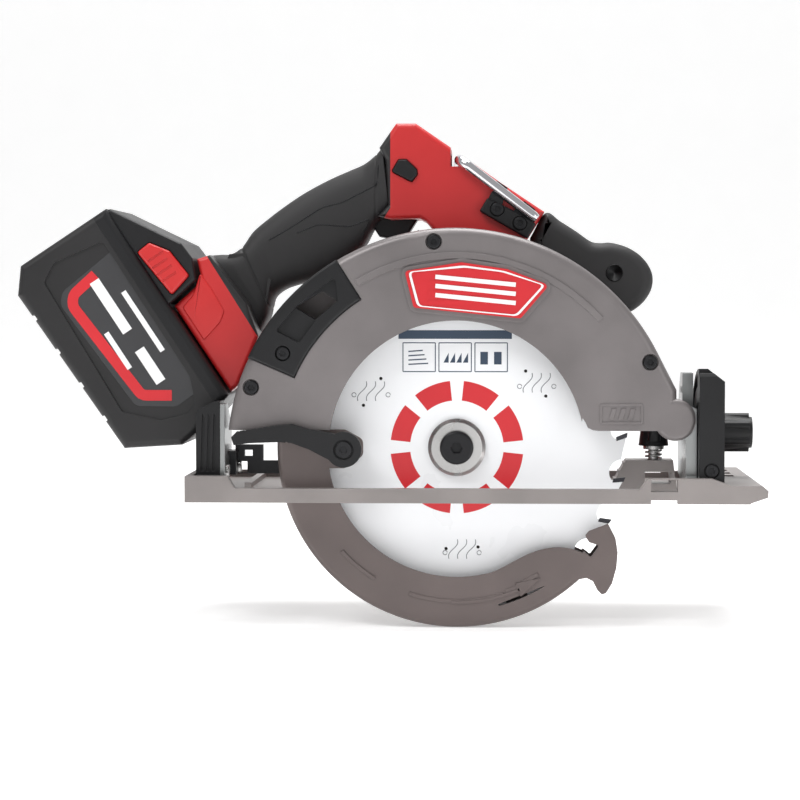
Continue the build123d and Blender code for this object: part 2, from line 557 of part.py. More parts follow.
def make_guard_lever():
    plan = outline([(-68.7, 37.9), (-80.9, 40.1), (-89.9, 42.8), (-97.7, 42.2), (-120.5, 38.6), (-123.6, 35.4),
                    (-122.2, 31.0), (-113.8, 32.2), (-97.7, 32.8), (-90.4, 32.3), (-80.9, 28.9), (-68.2, 22.3),
                    (-62, 25), (-62, 36)], 0.8)
    shape = slab(plan, LEVER_NEAR, LEVER_FAR)
    shape += disc(LEVER_X, LEVER_Z, 9.8, LEVER_NEAR, LEVER_FAR)
    for tooth in range(9):
        x = -119.5 + 3.3 * tooth
        shape -= disc(x, 39.4 + 0.16 * (x + 119.5), 0.9, -80, -70)
        shape -= disc(x, 31.0 + 0.05 * (x + 119.5), 0.7, -80, -70)
    shape -= disc(LEVER_X, LEVER_Z, 5.6, LEVER_NEAR - 1, LEVER_NEAR + 1.6)
    return shape - disc(LEVER_X, LEVER_Z, 2.0, -80, -70)


def make_lever_screw():
    return screw_facing_near(LEVER_X, LEVER_Z, LEVER_NEAR + 1.6, 4.6, 1.55, 1.4, 9)


# ---------------------------------------------------------------- blade and spindle
def make_saw_blade():
    """Toothed disc; each tooth leans forwards over a round gullet, and a slot eases the rim's stretch."""
    edges = []
    step = 360 / TEETH
    for tooth in range(TEETH):
        tip_angle = 5 + step * tooth
        tip = polar(BLADE_RADIUS - 0.6, tip_angle - 0.5)
        face_foot = polar(BLADE_RADIUS - 7.2, tip_angle - 1.9)
        gullet = polar(BLADE_RADIUS - 9.4, tip_angle + 1.6)
        back_start = polar(BLADE_RADIUS - 3.6, tip_angle + 5.8)
        next_tip = polar(BLADE_RADIUS - 0.6, tip_angle + step - 0.5)
        edges += [Line(tip, face_foot), ThreePointArc(face_foot, gullet, back_start), Line(back_start, next_tip)]
    shape = slab(make_face(edges), PLATE_NEAR, PLATE_FAR)
    shape -= disc(0, ARBOR_Z, BLADE_BORE_RADIUS + 0.03, -60, -40)
    for angle in (39, 147, 273):
        for end in (-9, 9):
            x, z = polar(57, angle + end)
            shape -= disc(x, z, 0.9, -60, -40)
    tips = make_carbide_tips()
    for tip in tips:
        shape -= tip
    return shape


def make_carbide_tips():
    tips = []
    for tooth in range(TEETH):
        angle = 5 + 360 / TEETH * tooth
        tip = outline([polar(BLADE_RADIUS, angle), polar(BLADE_RADIUS - 6.4, angle - 1.25),
                       polar(BLADE_RADIUS - 6.4, angle - 2.7), polar(BLADE_RADIUS - 0.45, angle - 1.6)])
        tips.append(slab(tip, BLADE_Y - KERF / 2, BLADE_Y + KERF / 2))
    return tips


NOSE_END = -45.3


def make_spindle():
    shape = disc(0, ARBOR_Z, 8.0, -51.2, -46.0)
    shape += disc(0, ARBOR_Z, 6.0, -46.2, -35.0)
    shape += disc(0, ARBOR_Z, 7.0, -35.0, -23.0)
    shape += disc(0, ARBOR_Z, 4.0, -23.5, -9.3)
    return shape - disc(0, ARBOR_Z, 4.0 + RUN, -60, -30)


def make_inner_flange():
    shape = ring(0, ARBOR_Z, 8.0 + RUN, 19.0, PLATE_FAR, -46.2)
    shape += ring(0, ARBOR_Z, 8.0 + RUN, BLADE_BORE_RADIUS - RUN, PLATE_NEAR + 0.15, PLATE_FAR)
    return shape


def make_outer_flange():
    shape = disc(0, ARBOR_Z, 16.0, -57.0, PLATE_NEAR)
    shape = chamfer(side_edges(shape, -57.0), 2.0)
    return shape - disc(0, ARBOR_Z, 4.0 + RUN, -60, -50)


def make_blade_bolt():
    head = disc(0, ARBOR_Z, 9.3, -61.4, -57.0)
    head = fillet(side_edges(head, -61.4), 1.6)
    head -= slab(Pos(0, ARBOR_Z) * RegularPolygon(3.4, 6), -63, -58.2)
    return head + disc(0, ARBOR_Z, 4.0, -57.0, -33.0)


def make_spindle_gear():
    face = Pos(0, ARBOR_Z) * gear_face(GEAR_TEETH, 0.16, MOTOR_ANGLE)
    shape = slab(face, -34.0, -24.0)
    for angle in range(0, 360, 60):
        x, z = polar(13, angle)
        shape -= disc(x, z, 3.2, -40, -20)
    return shape - disc(0, ARBOR_Z, 7.0 + RUN, -40, -20)


def bearing(x, z, bore, outer, y0, y1):
    """Deep-groove bearing: two rings, a shield groove on each side."""
    shape = ring(x, z, bore, outer, y0, y1)
    groove = (bore + outer) / 2
    width = (outer - bore) * 0.22
    shape -= ring(x, z, groove - width, groove + width, y0 - 1, y0 + 0.5)
    return shape - ring(x, z, groove - width, groove + width, y1 - 0.5, y1 + 1)


def make_spindle_bearings():
    front = bearing(0, ARBOR_Z, 6.0 + RUN, 16.0, NOSE_END + 0.3, -35.3)
    rear = bearing(0, ARBOR_Z, 4.0 + RUN, 8.0, -14.0, -9.2)
    return Compound([front, rear])


# ---------------------------------------------------------------- gear case and motor
CASE_FAR = -8.0


def make_gear_case():
    shape = disc(0, ARBOR_Z, 24.0, GUARD_FAR, CASE_FAR) + disc(MOTOR_X, MOTOR_Z, MOTOR_RADIUS, GUARD_FAR, CASE_FAR)
    shape += disc(0, ARBOR_Z, 20.0, NOSE_END, GUARD_FAR)
    for x, z in GUARD_BOLTS:
        shape += disc(x, z, 5.5, GUARD_FAR, GUARD_FAR + 16)
    shape -= disc(0, ARBOR_Z, 22.3, -35.0, -14.0)
    shape -= disc(MOTOR_X, MOTOR_Z, 8.0, -36.0, -14.0)
    shape -= disc(MOTOR_X, MOTOR_Z, 36.6, -14.0, CASE_FAR + 1)
    shape -= disc(0, ARBOR_Z, 16.0 + RUN, NOSE_END - 1, -35.0)
    for x, z in GUARD_BOLTS:
        shape -= disc(x, z, 2.05, -40, -27)
    lock_x, lock_y, lock_z = LOCK_PIN
    shape += rod_x(lock_y, lock_z, 6.5, 38, 49)
    shape -= rod_x(lock_y, lock_z, 6.4, 47.6, 60)
    return shape - rod_x(lock_y, lock_z, 3.0 + RUN, 20, 60)


LOCK_PIN = (30.0, -29.0, 33.0)


def make_bearing_plate():
    shape = disc(MOTOR_X, MOTOR_Z, 36.5, -14.0, CASE_FAR)
    shape -= disc(MOTOR_X, MOTOR_Z, 11.0 + RUN, -15, -8.8)
    shape -= disc(MOTOR_X, MOTOR_Z, 6.5, -20, 0)
    shape -= disc(0, ARBOR_Z, 8.0 + RUN, -15, -9.1)
    for angle in range(90, 391, 60):
        x, z = polar(24, angle, MOTOR_X, MOTOR_Z)
        if hypot(x, z - ARBOR_Z) > 16:
            shape -= disc(x, z, 5, -20, 0)
    return shape


def make_motor_housing():
    shape = ring(MOTOR_X, MOTOR_Z, 37.2, MOTOR_RADIUS, CASE_FAR, MOTOR_REAR)
    for angle in range(0, 360, 30):
        x, z = polar(MOTOR_RADIUS + 0.2, angle, MOTOR_X, MOTOR_Z)
        if z > 16:
            rib = Pos(x, 40, z) * Rot(0, -angle, 0) * Box(1.8, 44, 3)
            shape += rib - disc(MOTOR_X, MOTOR_Z, 38, -20, 90)
    for angle in range(15, 360, 15):
        x, z = polar(MOTOR_RADIUS - 1.5, angle, MOTOR_X, MOTOR_Z)
        shape -= Pos(x, 66, z) * Rot(0, -angle, 0) * Box(12, 6, 3)
    return shape


def make_motor_end_cap():
    shape = disc(MOTOR_X, MOTOR_Z, MOTOR_RADIUS, MOTOR_REAR, MOTOR_REAR + 17)
    shape = fillet(side_edges(shape, MOTOR_REAR + 17), 7.0)
    shape -= disc(MOTOR_X, MOTOR_Z, 35.5, MOTOR_REAR - 1, MOTOR_REAR + 12)
    shape += ring(MOTOR_X, MOTOR_Z, 9.0 + RUN, 12.0, MOTOR_REAR, MOTOR_REAR + 14)
    for row in range(-3, 4):
        half = sqrt(30**2 - (7 * row)**2)
        shape -= block(MOTOR_X - half, MOTOR_X + half, MOTOR_REAR + 10, MOTOR_REAR + 20, MOTOR_Z + 7 * row - 1.4,
                       MOTOR_Z + 7 * row + 1.4) - disc(MOTOR_X, MOTOR_Z, 14, 60, 100)
    return shape


def make_stator():
    shape = ring(MOTOR_X, MOTOR_Z, 31.0, 37.1, 8, 48)
    for pole in range(6):
        x, z = polar(27.5, 60 * pole, MOTOR_X, MOTOR_Z)
        coil = Pos(x, 28, z) * Rot(0, -60 * pole, 0) * Box(13, 50, 13)
        coil = fillet(coil.edges().filter_by(Axis.Y), 3.0)
        shape += coil
    return shape


def make_motor_shaft():
    face = Pos(MOTOR_X, MOTOR_Z) * gear_face(PINION_TEETH, 0.16, MOTOR_ANGLE + 180 + 180 / PINION_TEETH)
    shape = slab(face, -34.5, -23.5)
    shape += disc(MOTOR_X, MOTOR_Z, 3.9, -35.5, MOTOR_REAR + 4)
    return shape


def make_rotor_core():
    return ring(MOTOR_X, MOTOR_Z, 3.9, 17.3, 9, 47)


def make_cooling_fan():
    shape = ring(MOTOR_X, MOTOR_Z, 3.9, 10, -6, 2) + ring(MOTOR_X, MOTOR_Z, 9, 35, 0.6, 2)
    for blade in range(11):
        x, z = polar(22, 360 / 11 * blade, MOTOR_X, MOTOR_Z)
        shape += Pos(x, -2.2, z) * Rot(0, -360 / 11 * blade + 25, 0) * Box(24, 6, 1.4)
    return shape


def make_motor_bearings():
    front = bearing(MOTOR_X, MOTOR_Z, 3.9 + RUN, 11.0, -14.0, -8.8)
    rear = bearing(MOTOR_X, MOTOR_Z, 3.9 + RUN, 9.0, MOTOR_REAR - 2, MOTOR_REAR + 5)
    return Compound([front, rear])


def make_spindle_lock():
    x, y, z = LOCK_PIN
    pin = rod_x(y, z, 3.0, 26.5, 50)
    button = fillet(rod_x(y, z, 6.0, 51.5, 58).edges().filter_by(GeomType.CIRCLE), 1.2)
    return pin + rod_x(y, z, 3.0, 49, 53) + button


# ---------------------------------------------------------------- handle
NOTCH = (-4.4, 6.2, 186.5)
BODY = [(-46, 158.5), (-38.3, 156.5), (-21.9, 156.9), (-18.4, 155.0), (-14.1, 150.1), (-14.1, 84), (46, 84),
        (49, 100), (43.5, 130), (39.1, 145.1), (48.9, 160.8), (24.1, 177.3), (7.8, 188.9), (-3.0, 196.5),
        (-24.2, 211.0), (-35.4, 211.0), (-45.0, 197.2), (-41.5, 190), (-40, 165)]
GRIP = [(-110.5, 100), (-110, 107.1), (-106.5, 113.4), (-98.6, 118.2), (-83.5, 122.2), (-66, 131.5), (-53.5, 141.7),
        (-50.7, 151.8), (-46, 158.5), (-38.3, 162.8), (-39.6, 180.4), (-45, 197.2), (-50.1, 192.2), (-59.4, 186.4),
        (-73.2, 180.6), (-91.7, 170.8), (-105.5, 161.0), (-118.4, 150.2), (-125.0, 141.5), (-131, 137.0),
        (-126, 128)]
FOOT = [(1.8, 0.8), (60, 0.8), (59.4, 6), (42.5, 31.4), (24, 36), (-11, 33.5), (-13, 26.2), (-1.2, 21.8)]
RAIL_SLOT_NECK, RAIL_SLOT_HEAD = 20.4, 25.4
RAIL_LOW, RAIL_HIGH = 5.6, 11.5
HANDLE_SCREWS = [(-30, 200), (36, 152), (-5, 120), (38, 112), (-78, 158), (-100, 139)]
TRIGGER = [(-23.4, 157.2), (-28.6, 149.0), (-36, 145.4), (-45.5, 147.0), (-50, 154), (-42, 166), (-30, 168),
           (-23.4, 163)]
TRIGGER_PULL = (-0.6, 0.8)
TRIGGER_TRAVEL = 6.0
TRIGGER_HALF = 7.5


def trigger_path(gap):
    """Room that the trigger needs over its whole travel."""
    path = offset(outline(TRIGGER, 1.0), gap)
    for step in range(1, 5):
        shift = TRIGGER_TRAVEL * step / 4
        path += Pos(TRIGGER_PULL[0] * shift, TRIGGER_PULL[1] * shift) * offset(outline(TRIGGER, 1.0), gap)
    return path


def whole_handle():
    """Both halves of the handle as one hollow shape."""
    body = soften(slab(outline(BODY), -BODY_HALF, BODY_HALF), 3.0, -BODY_HALF, BODY_HALF)
    grip = slab(offset(outline(GRIP), -SLEEVE), -GRIP_HALF, GRIP_HALF)
    foot = slab(outline(FOOT), -FOOT_HALF, FOOT_HALF, PACK)
    foot = soften(foot, 2.5, -FOOT_HALF, FOOT_HALF)
    neck = slab(outline([(-131, 137), (-118, 138), (-107, 122), (-112, 98), (-118, 90), (-138, 120)]),
                -GRIP_HALF - 4, GRIP_HALF + 4)
    throat = slab(outline([(-60, 150), (-42, 158), (-30, 165), (-30, 185), (-45, 188), (-60, 175)]),
                  -GRIP_HALF, GRIP_HALF)
    shape = body + grip + throat + foot + neck
    inside = slab(offset(outline(BODY), -WALL), -BODY_HALF + WALL, BODY_HALF - WALL)
    inside += slab(offset(outline(GRIP), -SLEEVE - WALL), -GRIP_HALF + WALL, GRIP_HALF - WALL)
    inside += slab(outline([(-68, 147), (-42, 162), (-34, 168), (-34, 182), (-45, 184), (-68, 174)]),
                   -GRIP_HALF + WALL, GRIP_HALF - WALL)
    inside += slab(outline([(14, 14), (48, 14), (36, 28), (14, 31)]), -FOOT_HALF + WALL, FOOT_HALF - WALL, PACK)
    inside += slab(outline([(-126, 130), (-118, 132), (-110, 122), (-115, 101), (-124, 106)]),
                   -GRIP_HALF - 1, GRIP_HALF + 1)
    shape -= inside
    for x, z in HANDLE_SCREWS:
        half = BODY_HALF - 1 if x > -50 else GRIP_HALF - 1
        shape += disc(x, z, 3.6, -half, half)
        shape -= disc(x, z, 1.6, -half + 4, half + 2)
        shape -= disc(x, z, 3.3, half - 2.4, half + 3)
    shape -= slab(offset(outline([(0, 0), (58, 0), (58, RAIL_LOW + 1), (0, RAIL_LOW + 1)]), 3),
                  -RAIL_SLOT_NECK, RAIL_SLOT_NECK, PACK)
    shape -= slab(outline([(18, 10), (46, 10), (46, 16), (18, 16)]), -22.4, 22.4, PACK)
    shape -= slab(outline([(-10, RAIL_LOW), (57, RAIL_LOW), (57, RAIL_HIGH), (-10, RAIL_HIGH)]),
                  -RAIL_SLOT_HEAD, RAIL_SLOT_HEAD, PACK)
    shape -= slab(trigger_path(0.5), -TRIGGER_HALF - 0.5, TRIGGER_HALF + 0.5)
    shape -= block(NOTCH[0], NOTCH[1], -40, 40, NOTCH[2], 215)
    shape -= disc(MOTOR_X, MOTOR_Z, MOTOR_RADIUS + 1.2, -30, 30)
    return shape - slab(offset(outline(LOCK_OFF, 1.2), 0.3), -30, 30)


LOCK_OFF = [(-37.8, 183.6), (-33.9, 190.4), (-29.4, 190.4), (-23.5, 184.9), (-23.2, 182.0), (-26.4, 177.7)]


def make_grip_rubber():
    """Soft sleeve round the grip core."""
    outer = slab(outline(GRIP), -GRIP_HALF, GRIP_HALF)
    for inset, half in ((0.8, GRIP_HALF + 2.4), (2.0, GRIP_HALF + 3.8), (3.8, GRIP_HALF + 4.6)):
        outer += slab(offset(outline(GRIP), -inset), -half, half)
    core = slab(offset(outline(GRIP), -SLEEVE), -GRIP_HALF, GRIP_HALF)
    throat = slab(outline([(-60, 150), (-42, 158), (-30, 165), (-30, 185), (-45, 188), (-60, 175)]),
                  -GRIP_HALF, GRIP_HALF)
    body = slab(offset(outline(BODY), 0.1), -BODY_HALF - 1, BODY_HALF + 1)
    neck = slab(outline([(-150, 200), (-131, 137), (-118, 138), (-107, 122), (-112, 98), (-118, 60), (-160, 60)]),
                -40, 40)
    foot = slab(offset(outline(FOOT), 0.1), -40, 40, PACK)
    shape = outer - core - throat - body - neck - foot
    return shape - slab(trigger_path(0.6), -TRIGGER_HALF - 0.6, TRIGGER_HALF + 0.6)


FRONT_GRIP = [(39.3, 144.8), (49.1, 160.6), (58, 156.0), (67.1, 150), (76.1, 143.2), (86, 143.2), (94.5, 141.4),
              (104.4, 135.2), (109.6, 127.2), (110.4, 121), (107, 111), (98, 104), (86, 101.5), (74, 106),
              (66, 117), (56, 124), (44, 127)]


def make_front_grip():
    shape = slab(outline(FRONT_GRIP), -18, 18)
    shape = soften(shape, 6.5, -18, 18)
    shape -= slab(offset(outline(BODY), 0.1), -40, 40)
    shape -= disc(88.6, 126.1, 4.7, -19, -11)
    return shape - disc(88.6, 126.1, 4.7, 11, 19)


def make_handle_screws():
    group = []
    for x, z in HANDLE_SCREWS:
        half = BODY_HALF - 1 if x > -50 else GRIP_HALF - 1
        group.append(screw_facing_far(x, z, half - 2.4, 3.1, 1.55, 2.0, 2 * half - 10))
    return group


def make_trigger():
    shape = slab(outline(TRIGGER, 1.0), -TRIGGER_HALF, TRIGGER_HALF)
    return soften(shape, 1.5, -TRIGGER_HALF, TRIGGER_HALF)


def make_lock_off():
    return soften(slab(outline(LOCK_OFF, 1.2), -22.0, 22.0), 1.0, -22.0, 22.0)


def make_switch_module():
    return slab(outline([(-67, 156), (-58, 152), (-56, 158), (-59, 170), (-67, 168)], 1.0), -8.5, 8.5)


def make_terminal_block():
    base = slab(outline([(18.4, 11.8), (45.6, 11.8), (45.6, 15), (36, 24), (18.4, 24)]), -22, 22, PACK)
    for y in (-15, -5, 5, 15):
        base += slab(outline([(20, 4.5), (40, 4.5), (40, 13), (20, 13)]), y - 0.6, y + 0.6, PACK)
    return base


LEG_START, LEG_END = (0.7, 190.2), (44.5, 156.6)
ROD_RADIUS = 3.0
HOOK_Y = -24.5


def make_hook():
    """Bent rod: a straight leg in the clamp, then a crosspiece over the saw's back."""
    length = hypot(LEG_END[0] - LEG_START[0], LEG_END[1] - LEG_START[1])
    dx = (LEG_END[0] - LEG_START[0]) / length
    dz = (LEG_END[1] - LEG_START[1]) / length
    bend = 7.0
    corner = (LEG_START[0], HOOK_Y, LEG_START[1])
    foot = (LEG_END[0], HOOK_Y, LEG_END[1])
    leg_top = (corner[0] + bend * dx, HOOK_Y, corner[2] + bend * dz)
    cross_near = (corner[0], HOOK_Y + bend, corner[2])
    cross_far = (corner[0], 24.0, corner[2])
    leg = Line(foot, leg_top)
    turn = TangentArc(leg_top, cross_near, tangent=(-dx, 0, -dz))
    cross = Line(cross_near, cross_far)
    path = Wire([leg, turn, cross])
    shape = sweep(Plane(origin=foot, z_dir=(-dx, 0, -dz)) * Circle(ROD_RADIUS), path=path)
    end = Pos(*cross_far) * Sphere(ROD_RADIUS + 1.4)
    return shape + end


def leg_rod(radius, start, end):
    """Cylinder along the hook's leg, between two distances from its bend."""
    length = hypot(LEG_END[0] - LEG_START[0], LEG_END[1] - LEG_START[1])
    dx = (LEG_END[0] - LEG_START[0]) / length
    dz = (LEG_END[1] - LEG_START[1]) / length
    middle = (start + end) / 2
    axis = Plane(origin=(LEG_START[0] + middle * dx, HOOK_Y, LEG_START[1] + middle * dz), z_dir=(dx, 0, dz))
    return axis * Cylinder(radius, end - start)


CLAMP = [(11.9, 161.0), (16.6, 168.6), (30, 162), (44.3, 153.9), (39.1, 145.3)]
CLAMP_SCREWS = [(22.1, 162.0), (34.9, 154.0)]


def make_hook_clamp():
    shape = slab(outline(CLAMP, 1.2), -26.0, -20.1)
    shape = soften(shape, 1.2, -26.0)
    shape += slab(outline([(16, 166), (22, 178.2), (28, 174.2), (24, 162)]), -24.0, -20.1)
    shape += slab(outline([(30, 160), (37.5, 166.6), (43.6, 162), (42, 154)]), -24.0, -20.1)
    shape -= leg_rod(ROD_RADIUS + RUN, -10, 70)
    for x, z in CLAMP_SCREWS:
        shape -= disc(x, z, 4.2, -30, -24.4)
        shape -= disc(x, z, 1.65, -30, -19)
    return shape


def make_clamp_screws():
    return [screw_facing_near(x, z, -24.4, 3.7, 1.6, 1.8, 4.2) for x, z in CLAMP_SCREWS]


# ---------------------------------------------------------------- depth clamp
CLAMP_BOLT = (-50.0, PIVOT_Z)


def make_depth_bolt():
    x, z = CLAMP_BOLT
    stud = disc(x, z, 3.0, GUARD_FAR - 1.5, -16)
    return stud + disc(x, z, 6.0, ARM_FAR + 0.3, ARM_FAR + 1.8)


def make_depth_lever():
    x, z = CLAMP_BOLT
    shape = disc(x, z, 9, -28.0, -17)
    arm = outline([(x - 2, z + 8), (x - 34, z + 20), (x - 46, z + 21), (x - 47, z + 13), (x - 34, z + 11),
                   (x - 2, z - 8)], 2.0)
    shape += slab(arm, -26.5, -19)
    return shape - disc(x, z, 3.0 + RUN, -30, -10)


# ---------------------------------------------------------------- battery
PACK_SIDE = [(-64.3, -0.2), (-64.3, -58.4), (-51.3, -69), (53.6, -66.3), (69.9, -38), (68.7, -27.6), (61.2, -0.2)]
HOOD = [(-64, -7), (-63.2, 1.5), (-46, 11.7), (-25, 24.3), (-14.5, 25.0), (-3, 19.6), (1.2, -7)]
LID_SPLIT = -9.0
LABEL_FIELD = [(-50, -11.5), (-55, -41), (-49, -52), (36, -55.5), (52, -40), (57, -26), (55, -18.5), (40, -12.5)]
LABEL_DEPTH = 1.2
LATCH = [(-34.2, 0.8), (-35, 9.6), (-24.8, 16.6), (-7.2, 18.2), (-3.4, 4)]


def make_battery_case():
    shape = slab(outline(PACK_SIDE), -PACK_HALF, PACK_HALF, PACK)
    shape = soften(shape, 4.0, -PACK_HALF, PACK_HALF)
    shape &= slab(outline([(-90, LID_SPLIT), (90, LID_SPLIT), (90, -90), (-90, -90)]), -60, 60, PACK)
    inner = slab(offset(outline(PACK_SIDE), -WALL), -PACK_HALF + WALL, PACK_HALF - WALL, PACK)
    shape -= inner & slab(outline([(-90, LID_SPLIT + 1), (90, LID_SPLIT + 1), (90, -90), (-90, -90)]), -60, 60, PACK)
    for notch in range(4):
        start = -38 + 23 * notch
        floor = -66.8 + 0.55 * notch
        cut = outline([(start, -75), (start + 5, -75), (start + 4.2, floor), (start + 0.8, floor)])
        shape -= slab(cut, -60, 60, PACK)
    panel = outline(LABEL_FIELD, 3.0)
    shape -= slab(panel, -60, -PACK_HALF + LABEL_DEPTH, PACK)
    return shape - slab(panel, PACK_HALF - LABEL_DEPTH, 60, PACK)


def make_battery_lid():
    shape = slab(outline(PACK_SIDE), -PACK_HALF, PACK_HALF, PACK)
    shape = soften(shape, 4.0, -PACK_HALF, PACK_HALF)
    shape &= slab(outline([(-90, LID_SPLIT), (90, LID_SPLIT), (90, 20), (-90, 20)]), -60, 60, PACK)
    hood = soften(slab(outline(HOOD), -41, 41, PACK), 2.0, -41, 41)
    shape += hood
    shape -= slab(outline([(-58, -10), (56, -10), (58, -3.4), (-58, -3.4)]), -PACK_HALF + WALL, PACK_HALF - WALL,
                  PACK)
    shape += slab(outline([(5, -3), (56, -3), (56, 10.9), (5, 10.9)]), -19.9, 19.9, PACK)
    shape += slab(outline([(5, 6.1), (56, 6.1), (56, 10.9), (5, 10.9)]), -24.9, 24.9, PACK)
    for y in (-15, -5, 5, 15):
        shape -= slab(outline([(16, 3), (58, 3), (58, 12), (16, 12)]), y - 1.4, y + 1.4, PACK)
    for side in (-1, 1):
        y0, y1 = sorted((side * 33.6, side * 50))
        shape -= slab(offset(outline(LATCH, 1.5), 0.4), y0, y1, PACK)
    return shape


def make_latch(side):
    """Release button in the side of the hood."""
    y0, y1 = sorted((side * 37.2, side * 43.4))
    shape = slab(outline(LATCH, 1.5), y0, y1, PACK)
    shape = soften(shape, 1.6, side * 43.4)
    for ridge in range(4):
        start = -27 + 4.6 * ridge
        groove = outline([(start, 3.5), (start + 1.2, 3.5), (start + 1.2, 13.5), (start, 13.5)])
        a, b = sorted((side * 42.9, side * 45))
        shape -= slab(groove, a, b, PACK)
    return shape


def make_battery_cells():
    cells = []
    for row in range(3):
        for column in range(5):
            p = -44 + 22 * column + (11 if row == 1 else 0)
            q = -14.5 - 18.2 * row
            place = PACK * Pos(p, q)
            cells.append(place * Cylinder(10.2, 70))
    return cells


# ---------------------------------------------------------------- every sub-part
def main():
    os.makedirs("parts", exist_ok=True)
    near_half = block(-300, 300, -100, 0, -100, 300)
    handle = whole_handle()
    keep("shoe_plate", make_shoe())
    keep("bevel_pins", make_bevel_pins())
    keep("front_quadrant", make_front_quadrant())
    keep("quadrant_screws", make_quadrant_screws())
    keep("fence_screw", make_fence_screw())
    keep("fence_knob", make_fence_knob())
    keep("fence_spring", make_fence_spring())
    keep("front_tilt_bracket", make_front_tilt_bracket())
    keep("rear_tilt_bracket", make_rear_tilt_bracket())
    keep("rear_tilt_plate", make_rear_tilt_plate())
    keep("depth_arm", make_depth_arm())
    keep("depth_pin", make_depth_pin())
    keep("frame_screws", Compound(make_frame_screws()))
    keep("bevel_bolt", make_bevel_bolt())
    keep("bevel_knob", make_bevel_knob())
    keep("guard_cover", make_guard_cover())
    keep("guard_back", make_guard_back())
    keep("cover_screws", Compound(make_cover_screws()))
    keep("guard_bolts", Compound(make_guard_bolts()))
    keep("dust_chute", make_dust_chute())
    keep("badge_plate", make_badge_plate())
    keep("lower_guard", make_lower_guard())
    keep("guard_lever", make_guard_lever())
    keep("lever_screw", make_lever_screw())
    keep("saw_blade", make_saw_blade())
    keep("carbide_tips", Compound(make_carbide_tips()))
    keep("spindle", make_spindle())
    keep("inner_flange", make_inner_flange())
    keep("outer_flange", make_outer_flange())
    keep("blade_bolt", make_blade_bolt())
    keep("spindle_gear", make_spindle_gear())
    keep("spindle_bearings", make_spindle_bearings())
    keep("gear_case", make_gear_case())
    keep("bearing_plate", make_bearing_plate())
    keep("spindle_lock_button", make_spindle_lock())
    keep("motor_housing", make_motor_housing())
    keep("motor_end_cap", make_motor_end_cap())
    keep("stator", make_stator())
    keep("motor_shaft", make_motor_shaft())
    keep("rotor_core", make_rotor_core())
    keep("cooling_fan", make_cooling_fan())
    keep("motor_bearings", make_motor_bearings())
    keep("handle_shell_near", handle & near_half)
    keep("handle_shell_far", handle - near_half)
    keep("grip_rubber", make_grip_rubber())
    keep("front_grip", make_front_grip())
    keep("handle_screws", Compound(make_handle_screws() + make_clamp_screws()))
    keep("trigger", make_trigger())
    keep("lock_off_button", make_lock_off())
    keep("switch_module", make_switch_module())
    keep("terminal_block", make_terminal_block())
    keep("hook", make_hook())
    keep("hook_clamp", make_hook_clamp())
    keep("depth_bolt", make_depth_bolt())
    keep("depth_lever", make_depth_lever())
    keep("battery_case", make_battery_case())
    keep("battery_lid", make_battery_lid())
    keep("battery_cells", Compound(make_battery_cells()))
    keep("battery_latch_near", make_latch(-1))
    keep("battery_latch_far", make_latch(1))


main()
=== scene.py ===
"""Looks of the battery circular saw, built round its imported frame. Metres, +Z up."""
import math

import bpy
import numpy as np
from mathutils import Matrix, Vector


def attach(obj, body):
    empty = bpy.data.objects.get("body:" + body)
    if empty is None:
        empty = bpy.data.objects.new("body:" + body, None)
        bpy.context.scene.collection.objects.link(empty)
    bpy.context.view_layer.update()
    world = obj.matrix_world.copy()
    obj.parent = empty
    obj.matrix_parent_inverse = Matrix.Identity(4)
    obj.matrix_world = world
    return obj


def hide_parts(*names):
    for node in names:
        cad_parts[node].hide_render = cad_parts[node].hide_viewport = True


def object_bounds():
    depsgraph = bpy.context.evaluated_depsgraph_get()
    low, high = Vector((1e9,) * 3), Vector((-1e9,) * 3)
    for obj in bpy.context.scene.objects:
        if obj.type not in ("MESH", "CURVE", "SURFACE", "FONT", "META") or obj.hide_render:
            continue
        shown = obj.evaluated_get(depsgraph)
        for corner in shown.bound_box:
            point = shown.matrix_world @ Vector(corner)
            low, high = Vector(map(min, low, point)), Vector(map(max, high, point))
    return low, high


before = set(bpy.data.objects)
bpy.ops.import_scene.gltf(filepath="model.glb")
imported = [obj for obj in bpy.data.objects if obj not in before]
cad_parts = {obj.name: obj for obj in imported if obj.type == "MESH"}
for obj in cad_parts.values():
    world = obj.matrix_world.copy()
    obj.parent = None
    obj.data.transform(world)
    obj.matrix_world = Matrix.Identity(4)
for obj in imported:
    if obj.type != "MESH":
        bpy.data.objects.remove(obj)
cad_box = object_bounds()

MM = 0.001
BLADE_FACE = -52.55           # near face of the blade's plate, in millimetres
ARBOR = np.array([0.0, 29.0])  # X and Z of the spindle
PACK_SLOPE = math.radians(56.5)
PACK_MIDDLE = np.array([-162.0, 108.5])
SKIN = 0.12                   # thickness of printed and painted areas, in millimetres
SUNK = 0.02                   # how far a print on the blade reaches into the plate
CORNER_RUN = 2.5              # where a bend starts before a drawn line's corner
BEND_STEPS = 6                # points in each rounded corner


# ---------------------------------------------------------------- mesh making
def put_mesh(name, points, faces, smooth=True):
    """Object at the origin from points in millimetres and faces."""
    mesh = bpy.data.meshes.new(name)
    mesh.from_pydata((np.asarray(points, dtype=float) * MM).tolist(), [], faces)
    mesh.update()
    mesh.polygons.foreach_set("use_smooth", np.full(len(mesh.polygons), smooth))
    piece = bpy.data.objects.new(name, mesh)
    bpy.context.scene.collection.objects.link(piece)
    return piece


